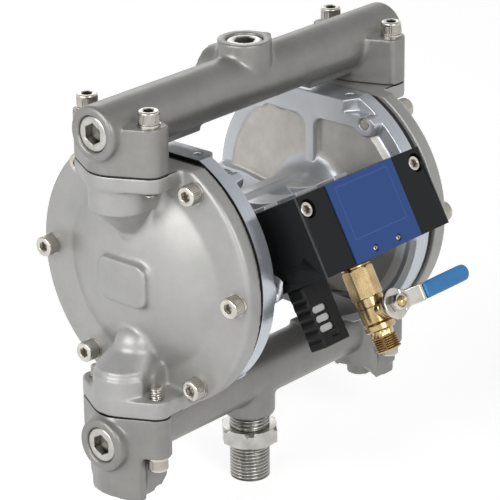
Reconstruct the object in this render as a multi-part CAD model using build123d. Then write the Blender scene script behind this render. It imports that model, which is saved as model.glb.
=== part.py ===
from build123d import *
import os
from math import cos, radians, sin, sqrt

# Air operated double diaphragm pump, in millimetres.
# X runs along the shaft from cover to cover, -Y is the front with the air valve, Z is up.
# Everything is drawn about the middle of the shaft, then lifted so that the feet stand on Z = 0.

# Centre body
body_disc_r = 84.0
body_disc_thick = 12.0
body_disc_inner_x = 69.5
body_rib_rise = 7.5
body_panel_inset = 13.0
body_panel_rise = 3.5
body_panel_slope = 4.0
body_land_drop = 7.4
body_hub_r = 24.5
body_hub_flare = 14.0
body_web_fill = 6.0
body_web_draft = 6.0
body_rib_width = 9.0
body_boss_r = 9.0
rib_swell_start = 42.0
rib_swell_end = 58.0
rib_swell_width = 16.0
body_bar_height = 18.0
land_corner_x = 9.0
land_corner_y = 7.0
lift_hole_shift = 2.5
lift_hole_y = 25.8
lift_hole_r = 3.4
lift_hole_depth = 14.0

# Covers
cover_overhang = 2.4
cover_disc_thick = 11.2
cover_edge_round = 3.0
cover_wall = 5.5
dome_inset = 23.3
dome_rise = 17.1
chamber_step = 6.0
pad_width = 40.0
pad_height = 28.0
pad_rise = 3.6
pad_corner = 7.5
port_reach = 17.9
upper_joint_drop = 8.7
lower_joint_drop = 2.1
upper_neck_r = 19.5
upper_neck_length = 26.3
lower_neck_r = 18.5
lower_neck_length = 4.0
elbow_lean = 10.0
upper_elbow_r = 8.5
upper_elbow_length = 18.0
lower_elbow_r = 13.5
lower_elbow_length = 10.0
stem_step = 0.6
passage_r = 8.5
passage_inset = 6.0
port_wall_r = 21.0
ear_corner_x = 5.0
ear_corner_y = 4.0
ear_corner_r = 5.0
upper_ear_thick = 9.8
lower_ear_thick = 11.5
collar_step = 0.4
lower_collar_height = 23.5
bridge_step = 0.8

# Bolting, M8
bolt_inset = 6.4
bolt_angle = 54.6
screw_r = 4.0
screw_head_r = 6.5
screw_head_height = 8.0
screw_socket = 6.0
screw_head_chamfer = 0.6
washer_lap = 0.4
washer_thick = 1.7
hole_clearance = 0.4
spring_washer_split = 0.8
tapped_clearance = 0.05
cover_screw_length = 35.0
ear_offset = 4.3
ear_r = 9.0
upper_screw_tip = 4.1
lower_screw_tip = 7.6

# Manifolds
tube_r = 17.4
tube_bore_r = 12.5
tube_edge_round = 2.5
upper_tube_rise = 25.4
lower_tube_drop = 19.6
upper_tube_overhang = 23.0
lower_tube_overhang = 25.1
upper_end_height = 30.4
lower_end_height = 27.2
end_plug_r = 11.5
end_plug_length = 7.8
top_plug_length = 12.0
plug_socket = 10.0
plug_socket_depth = 5.5
plug_recess = 1.0
plug_shoulder = 2.0
top_boss_r = 17.0
top_boss_rise = 26.0
top_lug_r = 4.2
top_lug_x = 17.2
top_lug_y = -1.3
top_plug_r = 11.9
rear_port_r = 12.05
rear_port_depth = 14.0
rear_boss_reach = 27.0
rail_width = 18.6
rail_rise = 1.5
rail_length = 62.3
lower_boss_r = 17.0
lower_boss_drop = 27.0
lower_boss_round = 3.0

# Feet, cast on the ends of the lower manifold
foot_drop = 37.0
foot_half_width = 21.5
foot_wall = 4.5
foot_boss_r = 8.5
foot_hole_r = 3.4
foot_hole_depth = 16.0
foot_arch = 1.6
foot_arch_r = 60.0
foot_inner_lift = 12.0
foot_inner_round = 5.0
foot_step = 3.0
foot_step_height = 9.5

# Suction nipple, R3/4 male both ends
nipple_thread_r = 13.2
nipple_bore_r = 9.5
nipple_hex = 35.0
nipple_neck_length = 8.5
nipple_hex_height = 11.0
nipple_length = 45.5
nipple_engagement = 12.0
nipple_chamfer = 1.2

# Check valves
ball_r = 11.5
ball_lift = 6.0
ball_gap = 0.3
seat_rim = 5.0
seat_bore_step = 2.5
seat_thick = 7.0
seat_chamfer = 2.0
cage_rim = 2.3
cage_slot = 10.0
cage_foot = 4.0
cage_stop_step = 3.5
cage_stop_thick = 3.0
port_seal_inset = 3.0
port_seal_section = 1.2
port_seal_room = 0.2

# Shaft assembly
stroke_half = 7.0
shaft_r = 8.0
shaft_stud_r = 6.0
shaft_groove_width = 12.0
shaft_groove_depth = 1.0
inner_disc_inset = 12.0
inner_disc_thick = 4.0
outer_disc_inset = 14.0
outer_disc_thick = 5.0
disc_rim_round = 1.5
shaft_nut_width = 18.0
shaft_nut_thick = 7.0
stud_proud = 1.2
diaphragm_inset = 0.8
diaphragm_thick = 3.2
diaphragm_fold_inset = 10.7
diaphragm_fold_width = 17.0
diaphragm_fold_rise = 5.0
bush_r = 11.0
bush_length = 14.0
bush_fit = 0.03
shaft_seal_length = 3.8
shaft_seal_clearance = 0.3
hub_bore_clearance = 1.0
disc_clearance = 0.6

# Air valve, drawn in a frame that is turned about X so that its face looks up and forward.
# In that frame "drop" is measured down the face and "out" is measured away from the shaft.
valve_tilt = 29.6
block_end_gap = 2.9
block_top = 7.3
block_bottom = 44.0
block_back = 63.0
block_depth = 45.4
block_edge_round = 1.0
face_plate_inset = 27.6
face_plate_thick = 1.5
face_plate_proud = 0.6
block_screw_inset = 7.5
block_screw_drop = 1.5
block_screw_r = 3.0
block_screw_head_r = 5.0
block_screw_head_height = 6.0
block_screw_socket = 5.0
block_screw_sunk = 1.2
block_screw_grip = 16.0
counterbore_clearance = 1.1
face_screw_x = 11.0
face_screw_rise = 4.7
face_screw_r = 2.0
face_screw_length = 12.0
face_screw_socket = 2.0
end_hole_r = 1.6
end_hole_rise = 6.3
end_hole_out = 10.6
gasket_thick = 1.0
spool_out = 25.0
spool_r = 7.9
spool_land = 10.0
spool_travel = 6.0
spool_waist = 3.0
spool_end_room = 10.0
spool_fit = 0.04
sleeve_wall = 3.1
sleeve_end_room = 5.1
sleeve_groove_width = 6.0
sleeve_groove_depth = 1.5
sleeve_groove_pitch = 20.0
end_cap_lip = 1.4
end_cap_thick = 8.0

# Pedestal between the hub and the air valve: a plate on three arched ducts, with ears for the screws
pedestal_half = 40.0
pedestal_rise = 8.0
pedestal_plate_thick = 9.0
pedestal_base_top = -6.0
duct_half = 10.0
duct_side_width = 13.0
duct_hub_top = 22.0
duct_hub_out = 9.0
duct_dip = 12.5
duct_dip_out = 27.0
duct_end_top = 9.5
duct_end_out = 50.0
ledge_top = 20.8
ledge_out = 14.0
screw_ear_half = 7.0
screw_ear_drop = 10.0
screw_ear_thick = 14.0

# Ball valve on the air inlet, hung from the underside of the block
inlet_out = 13.0
inlet_collar_r = 9.6
inlet_collar_length = 5.5
inlet_ring_lap = 0.4
inlet_ring_thick = 2.0
inlet_hex = 17.5
inlet_hex_length = 15.0
inlet_body_r = 9.3
inlet_groove_drop = 6.0
inlet_groove_width = 1.0
inlet_groove_depth = 0.6
inlet_barrel_end = 8.0
inlet_cap_r = 9.9
inlet_cap_length = 4.5
inlet_neck_hex = 13.0
inlet_neck_length = 4.0
inlet_thread_r = 8.3
inlet_thread_length = 9.5
inlet_bore_r = 4.5
inlet_engagement = 9.0
inlet_ball_r = 7.0
inlet_ball_bore_r = 4.0
inlet_ball_depth = 32.0
inlet_seat_r = 7.2
inlet_seat_clearance = 0.3
stem_r = 3.0
stem_boss_r = 6.0
stem_boss_height = 12.5
gland_hex = 10.0
gland_height = 5.5
stem_height = 27.0
lever_gap = 0.4
lever_thick = 2.0
lever_hub_r = 10.0
lever_step = 10.5
lever_step_start = 7.0
lever_step_end = 15.0
lever_flare_width = 11.0
lever_arm_width = 8.6
lever_length = 57.5
lever_nut_width = 10.0
lever_nut_thick = 5.0
grip_start = 16.0
grip_width = 10.6
grip_thick = 5.2
grip_cover = 2.6
grip_round = 1.8

# Silencer under the left end of the block
silencer_inset = 16.6
silencer_out = 10.0
silencer_width = 24.0
silencer_depth = 14.0
silencer_length = 39.5
silencer_top_gap = 0.4
silencer_wall = 2.0
silencer_head = 8.0
silencer_corner = 2.0
silencer_neck_r = 6.0
silencer_neck_length = 8.0
silencer_slot_length = 12.4
silencer_slot_height = 4.2
silencer_slot_pitch = 6.1
silencer_slot_first = 16.0
silencer_slot_shift = -3.8
silencer_notch_r = 1.9
silencer_notch_depth = 1.1
silencer_notch_first = 8.5
silencer_mark_width = 6.5
silencer_mark_height = 3.0
silencer_mark_depth = 0.8
silencer_mark_rise = 6.0
silencer_felt_gap = 0.2

# Casing sizes that follow from the disc and from the named steps above
upper_joint = body_disc_r - upper_joint_drop
lower_joint = body_disc_r - lower_joint_drop
upper_tube_axis = upper_joint + upper_tube_rise
lower_tube_axis = lower_joint + lower_tube_drop
upper_end_top = upper_joint + upper_end_height
lower_end_bottom = lower_joint + lower_end_height
shaft_height = lower_tube_axis + foot_drop
body_face_x = body_disc_inner_x + body_disc_thick
cover_seat_x = body_face_x + diaphragm_thick
cover_face_x = cover_seat_x + cover_disc_thick
dome_top_x = cover_face_x + dome_rise
port_x = cover_face_x + port_reach
body_rib_x = body_disc_inner_x - body_rib_rise
body_top_land = body_disc_r - body_land_drop
cover_disc_r = body_disc_r + cover_overhang
dome_base_r = body_disc_r - dome_inset
chamber_r = dome_base_r - chamber_step
bolt_circle_r = body_disc_r - bolt_inset
bolt_spots = [(bolt_circle_r * cos(radians(a)), bolt_circle_r * sin(radians(a)))
              for a in (0, bolt_angle, 180 - bolt_angle, 180, 180 + bolt_angle, -bolt_angle)]
lower_collar_r = port_wall_r - collar_step
ear_y = port_wall_r + ear_offset
upper_tube_half = port_x + upper_tube_overhang
lower_tube_half = port_x + lower_tube_overhang
upper_screw_length = upper_end_height + upper_ear_thick + washer_thick + upper_screw_tip
lower_screw_length = lower_end_height + lower_ear_thick + washer_thick + lower_screw_tip
rail_inner_x = port_x - rail_length
lift_hole_x = body_disc_inner_x + lift_hole_shift
top_boss_top = upper_tube_axis + top_boss_rise
lower_boss_bottom = lower_tube_axis + lower_boss_drop
nipple_hex_top = lower_boss_bottom + nipple_neck_length
nipple_end = lower_boss_bottom + nipple_length

# Check valve and shaft sizes that follow
seat_r = port_wall_r - seat_rim
seat_bore_r = ball_r - seat_bore_step
cage_r = ball_r + cage_rim
cage_stop_r = ball_r - cage_stop_step
port_seal_r = port_wall_r - port_seal_inset
ball_contact = sqrt(ball_r ** 2 - seat_bore_r ** 2)
ball_rest = ball_contact - seat_chamfer + ball_gap
stop_height = ball_rest + ball_lift + sqrt(ball_r ** 2 - cage_stop_r ** 2) + ball_gap
cage_height = stop_height + cage_stop_thick
stud_start_x = body_face_x - inner_disc_thick
chamber_floor_x = stud_start_x - stroke_half - disc_clearance
nut_seat_x = cover_seat_x + outer_disc_thick
bush_start = chamber_floor_x - shaft_seal_length - bush_length
diaphragm_r = body_disc_r - diaphragm_inset
diaphragm_fold_r = dome_base_r - diaphragm_fold_inset
inner_disc_r = diaphragm_fold_r - inner_disc_inset
outer_disc_r = diaphragm_fold_r - outer_disc_inset

# Air valve sizes that follow
block_half = body_rib_x - block_end_gap
block_front = block_back + block_depth
face_plate_half = block_half - face_plate_inset
block_screw_x = block_half - block_screw_inset
screw_bore_r = block_screw_head_r + counterbore_clearance
face_screw_drop = block_bottom - face_screw_rise
pedestal_bottom = block_bottom - pedestal_rise
pedestal_face = block_back - gasket_thick
spool_n = block_back + spool_out
spool_drop = (block_bottom - block_top) / 2
sleeve_r = spool_r + sleeve_wall
sleeve_half = block_half - end_cap_thick - sleeve_end_room
spool_half = sleeve_half - spool_travel - spool_end_room
end_cap_r = sleeve_r + end_cap_lip
inlet_n = block_back + inlet_out
inlet_ball_drop = block_bottom + inlet_ball_depth
inlet_body_end = inlet_ball_drop + inlet_barrel_end
stem_boss_top = inlet_n + stem_boss_height
gland_top = stem_boss_top + gland_height
lever_base = gland_top + lever_gap
silencer_x = silencer_inset - block_half
silencer_n = block_back + silencer_out
silencer_bottom = block_bottom + silencer_length

tilt = Plane(origin=(0, 0, 0), x_dir=(1, 0, 0),
             z_dir=(0, -cos(radians(valve_tilt)), sin(radians(valve_tilt)))).location


def rod_x(r, x0, x1, y=0.0, z=0.0):
    """Cylinder along X between x0 and x1."""
    return extrude(Plane.YZ.offset(x0) * Pos(y, z) * Circle(r), x1 - x0)


def rod_y(r, y0, y1, x=0.0, z=0.0):
    """Cylinder along Y between y0 and y1."""
    return extrude(Plane.XZ.offset(-y1) * Pos(x, z) * Circle(r), y1 - y0)


def rod_z(r, z0, z1, x=0.0, y=0.0):
    """Cylinder along Z between z0 and z1."""
    return extrude(Plane.XY.offset(z0) * Pos(x, y) * Circle(r), z1 - z0)


def block(x0, x1, y0, y1, z0, z1):
    """Box between two corners."""
    return Pos((x0 + x1) / 2, (y0 + y1) / 2, (z0 + z1) / 2) * Box(x1 - x0, y1 - y0, z1 - z0)


def hex_x(width, x0, x1, y=0.0, z=0.0):
    """Hexagonal bar along X with the given width across flats."""
    shape = RegularPolygon(width / 2, 6, major_radius=False)
    return extrude(Plane.YZ.offset(x0) * Pos(y, z) * shape, x1 - x0)


def hex_z(width, z0, z1, x=0.0, y=0.0, turn=0.0):
    """Hexagonal bar along Z with the given width across flats."""
    shape = Rot(0, 0, turn) * RegularPolygon(width / 2, 6, major_radius=False)
    return extrude(Plane.XY.offset(z0) * Pos(x, y) * shape, z1 - z0)


def drop_rod(r, s0, s1, x=0.0, n=0.0):
    """Cylinder that hangs down the valve face, from s0 to s1 below the shaft, in the tilted frame."""
    return extrude(Plane.XZ.offset(s0) * Pos(x, n) * Circle(r), s1 - s0)


def drop_hex(width, s0, s1, x=0.0, n=0.0, turn=0.0):
    """Hexagonal bar that hangs down the valve face, in the tilted frame."""
    shape = Rot(0, 0, turn) * RegularPolygon(width / 2, 6, major_radius=False)
    return extrude(Plane.XZ.offset(s0) * Pos(x, n) * shape, s1 - s0)


def other_side(shape):
    """The same piece at the left end: turned half a turn about Z."""
    return Rot(0, 0, 180) * shape


def save(name, shape):
    """Lift a piece to its place above the feet and write it."""
    export_step(Pos(0, 0, shaft_height) * shape, f"parts/{name}.step")


def save_group(name, shapes):
    """Write several separate solids as one node."""
    solids = [solid for shape in shapes for solid in shape.solids()]
    save(name, Compound(solids))


def oval_plate(r_mid, z0, z1):
    """Port flange: a round middle with an ear each side, joined by tangents."""
    middle = Pos(port_x, 0) * Circle(r_mid)
    ears = [Pos(port_x, side * ear_y) * Circle(ear_r) for side in (-1, 1)]
    outline = make_hull((middle + ears[0] + ears[1]).edges())
    return extrude(Plane.XY.offset(z0) * outline, z1 - z0)


def square_plate(r_mid, z0, z1):
    """Port flange of the discharge side: as the oval one, with squarer corners towards the pump's middle."""
    outline = Pos(port_x, 0) * Circle(r_mid)
    for side in (-1, 1):
        outline += Pos(port_x, side * ear_y) * Circle(ear_r)
        outline += Pos(port_x - ear_corner_x, side * (ear_y + ear_corner_y)) * Circle(ear_corner_r)
    return extrude(Plane.XY.offset(z0) * make_hull(outline.edges()), z1 - z0)


def socket_screw(length, shank=screw_r, head_r=screw_head_r, height=screw_head_height, socket=screw_socket):
    """Socket head cap screw standing on its washer seat, shank down, head up."""
    head = rod_z(head_r, 0, height)
    head = chamfer(head.edges().group_by(Axis.Z)[-1], screw_head_chamfer)
    return head + rod_z(shank, -length, 0) - hex_z(socket, height / 2, height + 1)


def spring_washer():
    """Split ring of square section that lies on the seat."""
    rim = screw_head_r + washer_lap
    ring = rod_z(rim, 0, washer_thick) - rod_z(screw_r + hole_clearance / 2, -1, washer_thick + 1)
    split = block(0, rim + 1, -spring_washer_split / 2, spring_washer_split / 2, -1, washer_thick + 1)
    return ring - split


def socket_plug(r, length):
    """Pipe plug with a hexagon socket, its face at Z = 0 and its thread below."""
    body = rod_z(r, -length, 0)
    body = chamfer(body.edges().group_by(Axis.Z)[-1], 0.8)
    return body - hex_z(plug_socket, -plug_socket_depth, 1)


def elbow(start, end_z, r0, r1):
    """Tapered bend that leans from the port neck towards the dome and ends in a ball."""
    foot = Plane(origin=(port_x, 0, start)) * Circle(r0)
    tip = Plane(origin=(port_x - elbow_lean, 0, end_z)) * Circle(r1)
    return loft([foot, tip]) + Pos(port_x - elbow_lean, 0, end_z) * Sphere(r1)


def make_cover():
    """Right hand cover: bolting ring, dome, two port necks, ears and the bare pad."""
    ring = make_face(
        Polyline((cover_seat_x, 0), (cover_seat_x, cover_disc_r),
                 (cover_face_x - cover_edge_round, cover_disc_r))
        + RadiusArc((cover_face_x - cover_edge_round, cover_disc_r),
                    (cover_face_x, cover_disc_r - cover_edge_round), cover_edge_round)
        + Line((cover_face_x, cover_disc_r - cover_edge_round), (cover_face_x, dome_base_r))
        + TangentArc((dome_top_x, 0), (cover_face_x, dome_base_r), tangent=(0, 1))
        + Line((dome_top_x, 0), (cover_seat_x, 0)))
    shell = revolve(ring, Axis.X)
    pad_face = dome_top_x + pad_rise
    pad = extrude(Plane.YZ.offset(cover_face_x) * RectangleRounded(pad_width, pad_height, pad_corner),
                  pad_face - cover_face_x)
    pad = chamfer(pad.edges().group_by(Axis.X)[-1], 0.8)
    collar = rod_z(lower_collar_r, -lower_joint, -lower_joint + lower_collar_height, port_x)
    ear_clear = lower_joint - lower_ear_thick
    for side in (-1, 1):
        collar -= rod_z(screw_head_r + 1, -ear_clear, 0, port_x, side * ear_y)
    upper_foot = upper_joint - upper_neck_length
    lower_foot = lower_joint - lower_collar_height - lower_neck_length
    upper_half = upper_neck_r - stem_step
    lower_half = lower_neck_r - stem_step
    necks = (rod_z(upper_neck_r, upper_foot, upper_joint, port_x)
             + block(cover_seat_x + 1, port_x, -upper_half, upper_half, upper_foot, upper_joint - 1)
             + rod_z(lower_neck_r, -lower_foot - lower_neck_length, -lower_foot, port_x)
             + block(cover_seat_x + 1, port_x, -lower_half, lower_half, 1 - lower_joint, -lower_foot))
    bends = (elbow(upper_foot, upper_foot - upper_elbow_length, upper_neck_r - 1.5, upper_elbow_r)
             + elbow(-lower_foot, -lower_foot + lower_elbow_length, lower_neck_r, lower_elbow_r))
    ears = (square_plate(port_wall_r, upper_joint - upper_ear_thick, upper_joint)
            + oval_plate(port_wall_r, -lower_joint, -ear_clear))
    bridge_half = ear_y + ear_r - bridge_step
    upper_ear_foot = upper_joint - upper_ear_thick
    bridges = (block(cover_seat_x, port_x, -bridge_half, bridge_half, upper_ear_foot, upper_joint)
               + block(cover_seat_x, port_x, -bridge_half, bridge_half, -lower_joint, -ear_clear))
    cover = shell + pad + collar + necks + bends + ears + bridges
    wide = 2 * cover_disc_r
    cover -= block(0, 2 * wide, -wide, wide, upper_joint, wide)
    cover -= block(0, 2 * wide, -wide, wide, -wide, -lower_joint)
    return cover - cover_hollows()


def cover_hollows():
    """Liquid chamber, port passages, seat recess, ball bore and screw holes of a cover."""
    inner_r = dome_base_r - 1.0
    chamber = revolve(make_face(
        Polyline((cover_seat_x - 1, 0), (cover_seat_x - 1, inner_r), (cover_seat_x + 3, inner_r))
        + TangentArc((dome_top_x - cover_wall, 0), (cover_seat_x + 3, inner_r), tangent=(0, 1))
        + Line((dome_top_x - cover_wall, 0), (cover_seat_x - 1, 0))), Axis.X)
    upper_foot = upper_joint - upper_neck_length
    lower_foot = lower_joint - lower_collar_height - lower_neck_length
    cuts = chamber
    cuts += rod_z(seat_r + tapped_clearance, upper_joint - seat_thick, upper_joint + 1, port_x)
    cuts += rod_z(seat_bore_r + 2, upper_foot + 4, upper_joint, port_x)
    cuts += rod_z(cage_r + tapped_clearance, -lower_joint - 1, -lower_joint + cage_height + ball_gap, port_x)
    cuts += rod_z(cage_stop_r, -lower_joint, -lower_foot + lower_elbow_length / 2, port_x)
    passage = rod_x(passage_r, -2.2 * passage_r, 0)
    cuts += Pos(port_x, 0, upper_foot + 6) * Rot(0, -45, 0) * passage
    cuts += Pos(port_x - passage_inset, 0, -lower_foot + lower_elbow_length / 3) * Rot(0, 45, 0) * passage
    for y, z in bolt_spots:
        cuts += rod_x(screw_r + hole_clearance, cover_seat_x - 1, dome_top_x, y, z)
    for side in (-1, 1):
        hole = screw_r + tapped_clearance
        cuts += rod_z(hole, upper_joint - upper_ear_thick - 1, upper_joint + 1, port_x, side * ear_y)
        cuts += rod_z(hole, -lower_joint - 1, -lower_joint + lower_ear_thick + 1, port_x, side * ear_y)
    return cuts


def body_web():
    """Outline of the raised web on a disc: bar, land, ribs and bolt bosses, with filled inside corners."""
    bar_z = body_top_land - body_bar_height
    half = body_rib_width / 2
    bar_reach = bolt_circle_r * cos(radians(bolt_angle)) + 1
    web = Pos(0, (bar_z + body_top_land) / 2) * Rectangle(2 * bar_reach, body_bar_height)
    web += Pos(0, -(bar_z + body_top_land) / 2) * Rectangle(2 * bar_reach, body_bar_height)
    web += Rectangle(2 * half, 2 * bar_z + 2)
    web += Rectangle(2 * bolt_circle_r, 2 * half)
    web += Circle(body_hub_r + 1)
    swell = rib_swell_width / 2
    for side in (-1, 1):
        start = side * rib_swell_start
        end = side * rib_swell_end
        far = side * bolt_circle_r
        web += make_face(Polyline((start, half), (end, swell), (far, swell), (far, -swell),
                                  (end, -swell), (start, -half), (start, half)))
    for y, z in bolt_spots:
        web += Pos(y, z) * Circle(body_boss_r)
    return offset(offset(web, body_web_fill), -body_web_fill)


def land_corners():
    """Wedges that cut off the inner corners of the top land of a disc."""
    near = body_rib_x - 1
    far = near + land_corner_x
    reach = sqrt(body_disc_r ** 2 - body_top_land ** 2)
    wedges = []
    for side in (-1, 1):
        plan = make_face(Polyline((near, side * (reach - land_corner_y)), (far, side * reach),
                                  (far, side * 2 * reach), (near, side * 2 * reach),
                                  (near, side * (reach - land_corner_y))))
        wedges.append(extrude(Plane.XY.offset(body_top_land - body_bar_height / 2) * plan, body_bar_height))
    return wedges


def body_end():
    """Right hand disc of the centre body with its panels, web, hub flare and land."""
    disc = rod_x(body_disc_r, body_disc_inner_x, body_face_x)
    panel_r = body_disc_r - body_panel_inset
    slope = Plane.YZ.offset(body_disc_inner_x) * Circle(panel_r + body_panel_slope)
    panel = Plane.YZ.offset(body_disc_inner_x - body_panel_rise) * Circle(panel_r)
    disc += loft([slope, panel])
    disc += extrude(Plane.YZ.offset(body_disc_inner_x) * body_web(), -body_rib_rise, taper=body_web_draft)
    flare_x = body_disc_inner_x - body_panel_rise
    flare_start = (flare_x, body_hub_r + body_hub_flare)
    flare_end = (flare_x - body_hub_flare, body_hub_r)
    flare = make_face(Line((flare_x, 0), flare_start) + RadiusArc(flare_start, flare_end, body_hub_flare)
                      + Polyline(flare_end, (flare_end[0], 0), (flare_x, 0)))
    disc += revolve(flare, Axis.X)
    disc -= land_corners()
    wide = 2 * body_disc_r
    disc &= rod_x(body_disc_r, 0, wide)
    disc -= block(0, wide, -wide, wide, body_top_land, wide)
    disc -= block(0, wide, -wide, wide, -wide, -lower_joint)
    floor = Plane.YZ.offset(chamber_floor_x) * Circle(chamber_r)
    mouth = Plane.YZ.offset(body_face_x) * Circle(dome_base_r)
    disc -= loft([floor, mouth])
    for y, z in bolt_spots:
        disc -= rod_x(screw_r + tapped_clearance, body_rib_x - 1, body_face_x + 1, y, z)
    disc -= rod_z(lift_hole_r, body_top_land - lift_hole_depth, body_top_land + 1, lift_hole_x, -lift_hole_y)
    return disc


def duct(x0, x1):
    """One arched duct of the pedestal, from the hub out to the plate, in the tilted frame."""
    side = make_face(
        Polyline((duct_end_top, duct_end_out), (duct_end_top, pedestal_face),
                 (-pedestal_bottom, pedestal_face), (-body_hub_r / 2, 0),
                 (duct_hub_top, 0), (duct_hub_top, duct_hub_out))
        + ThreePointArc((duct_hub_top, duct_hub_out), (duct_dip, duct_dip_out), (duct_end_top, duct_end_out)))
    return extrude(Plane.YZ.offset(x0) * side, x1 - x0)


def make_pedestal():
    """Mounting plate of the air valve with its ducts, the ledge on the hub and the screw ears."""
    plate = block(-pedestal_half, pedestal_half, -pedestal_bottom, block_top - 3,
                  pedestal_face - pedestal_plate_thick, pedestal_face)
    base = block(-pedestal_half, pedestal_half, -pedestal_bottom + 2, pedestal_base_top, 0, pedestal_face)
    ledge = block(-pedestal_half + 1, pedestal_half - 1, pedestal_base_top, ledge_top, 0, ledge_out)
    parts = [duct(-duct_half, duct_half), duct(-pedestal_half, -pedestal_half + duct_side_width),
             duct(pedestal_half - duct_side_width, pedestal_half)]
    ear_top = -block_screw_drop - screw_ear_drop
    ear_back = pedestal_face - screw_ear_thick
    for side in (-1, 1):
        x = side * block_screw_x
        ear = block(x - screw_ear_half, x + screw_ear_half, ear_top, block_top - 1, ear_back, pedestal_face)
        parts.append(ear)
    arms = block(-block_screw_x, block_screw_x, ear_top, block_top - 4, ear_back, pedestal_face)
    pedestal = plate + base + ledge + arms
    for part in parts:
        pedestal += part
    return tilt * pedestal


def make_body():
    """Centre body: two discs on one hub, and the pedestal that carries the air valve."""
    right = body_end()
    left = mirror(right, Plane.YZ)
    hub = rod_x(body_hub_r, -body_disc_inner_x, body_disc_inner_x)
    body = left + right + hub + make_pedestal()
    body -= rod_x(shaft_r + hub_bore_clearance, -body_face_x, body_face_x)
    bore = rod_x(bush_r + tapped_clearance, bush_start, body_face_x)
    body -= [bore, other_side(bore)]
    for side in (-1, 1):
        body -= tilt * rod_z(block_screw_r + tapped_clearance, pedestal_face - screw_ear_thick - 1,
                             pedestal_face + 1, side * block_screw_x, -block_screw_drop)
    return body


def make_upper_manifold():
    """Discharge manifold: tube, end blocks with ears, top and rear bosses, rails underneath."""
    tube = rod_x(tube_r, -upper_tube_half, upper_tube_half, 0, upper_tube_axis)
    tube = fillet(tube.edges(), tube_edge_round)
    ends = square_plate(port_wall_r, upper_joint, upper_end_top)
    rail_bottom = upper_tube_axis - tube_r - rail_rise
    rail = block(rail_inner_x, port_x, -rail_width / 2, rail_width / 2, rail_bottom, upper_tube_axis)
    side = ends + rail
    body = tube + side + other_side(side)
    body += rod_z(top_boss_r, upper_tube_axis, top_boss_top)
    body += rod_z(top_lug_r, upper_tube_axis, top_boss_top - 1, top_lug_x, top_lug_y)
    body += rod_y(tube_r, 0, rear_boss_reach, 0, upper_tube_axis)
    cuts = rod_x(tube_bore_r, -port_x, port_x, 0, upper_tube_axis)
    cuts += rod_x(end_plug_r, upper_tube_half - plug_recess - end_plug_length, upper_tube_half + 1,
                  0, upper_tube_axis)
    cuts += rod_x(end_plug_r, -upper_tube_half - 1, -upper_tube_half + plug_recess + end_plug_length,
                  0, upper_tube_axis)
    cuts += rod_x(end_plug_r - plug_shoulder, 2 - upper_tube_half, upper_tube_half - 2, 0, upper_tube_axis)
    cuts += rod_z(top_plug_r, top_boss_top - plug_recess - top_plug_length, top_boss_top + 1)
    cuts += rod_z(top_plug_r - plug_shoulder, upper_tube_axis, top_boss_top - 2)
    cuts += rod_y(rear_port_r, rear_boss_reach - rear_port_depth, rear_boss_reach + 1, 0, upper_tube_axis)
    cuts += rod_y(rear_port_r - plug_shoulder, 0, rear_boss_reach - 2, 0, upper_tube_axis)
    chamber = rod_z(cage_r + tapped_clearance, upper_joint - 1, upper_joint + cage_height + ball_gap, port_x)
    chamber += rod_z(cage_stop_r, upper_joint, upper_tube_axis, port_x)
    half = port_seal_section + port_seal_room
    groove = rod_z(port_seal_r + half, upper_joint - 1, upper_joint + 2 * port_seal_section, port_x)
    groove -= rod_z(port_seal_r - half, upper_joint - 1, upper_tube_axis, port_x)
    for ear in (-1, 1):
        chamber += rod_z(screw_r + hole_clearance, upper_joint - 1, upper_end_top + 1, port_x, ear * ear_y)
    chamber += groove
    return body - cuts - chamber - other_side(chamber)


def foot_block():
    """Foot under the right end block: a U of wall open to the middle, with a tapped boss inside."""
    sole = -shaft_height
    axis = -lower_tube_axis
    wide = 2 * port_x
    plan = block(0, wide, -foot_half_width, foot_half_width, sole, axis)
    wall = (oval_plate(port_wall_r, sole, axis) & plan) - rod_z(port_wall_r - foot_wall, sole - 1,
                                                                axis - tube_r - 3, port_x)
    wall -= rod_x(foot_arch_r, 0, wide, 0, sole + foot_arch - foot_arch_r)
    low = sole + foot_inner_lift
    near = port_x - 2
    inner_side = make_face(Polyline((0, sole - 1), (near, sole - 1), (near - foot_inner_lift, low),
                                    (0, low), (0, sole - 1)))
    wall -= extrude(Plane.XZ * inner_side, wide, both=True)
    step = make_face(Polyline((-wide, sole - 1), (foot_step - foot_half_width, sole - 1),
                              (foot_step - foot_half_width, sole + foot_step_height - foot_step),
                              (-foot_half_width, sole + foot_step_height), (-wide, sole + foot_step_height),
                              (-wide, sole - 1)))
    wall -= extrude(Plane.YZ * step, wide)
    cheek = rod_z(port_wall_r - foot_wall - 1, low, axis, port_x - foot_wall)
    cheek = fillet(cheek.edges().group_by(Axis.Z)[0], foot_inner_round)
    foot = wall + cheek + rod_z(foot_boss_r, sole, axis - tube_r, port_x)
    for side in (-1, 1):
        foot -= rod_z(screw_head_r + 1.5, sole - 1, -lower_end_bottom, port_x, side * ear_y)
    return foot - rod_z(foot_hole_r, sole - 1, sole + foot_hole_depth, port_x)


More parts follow.
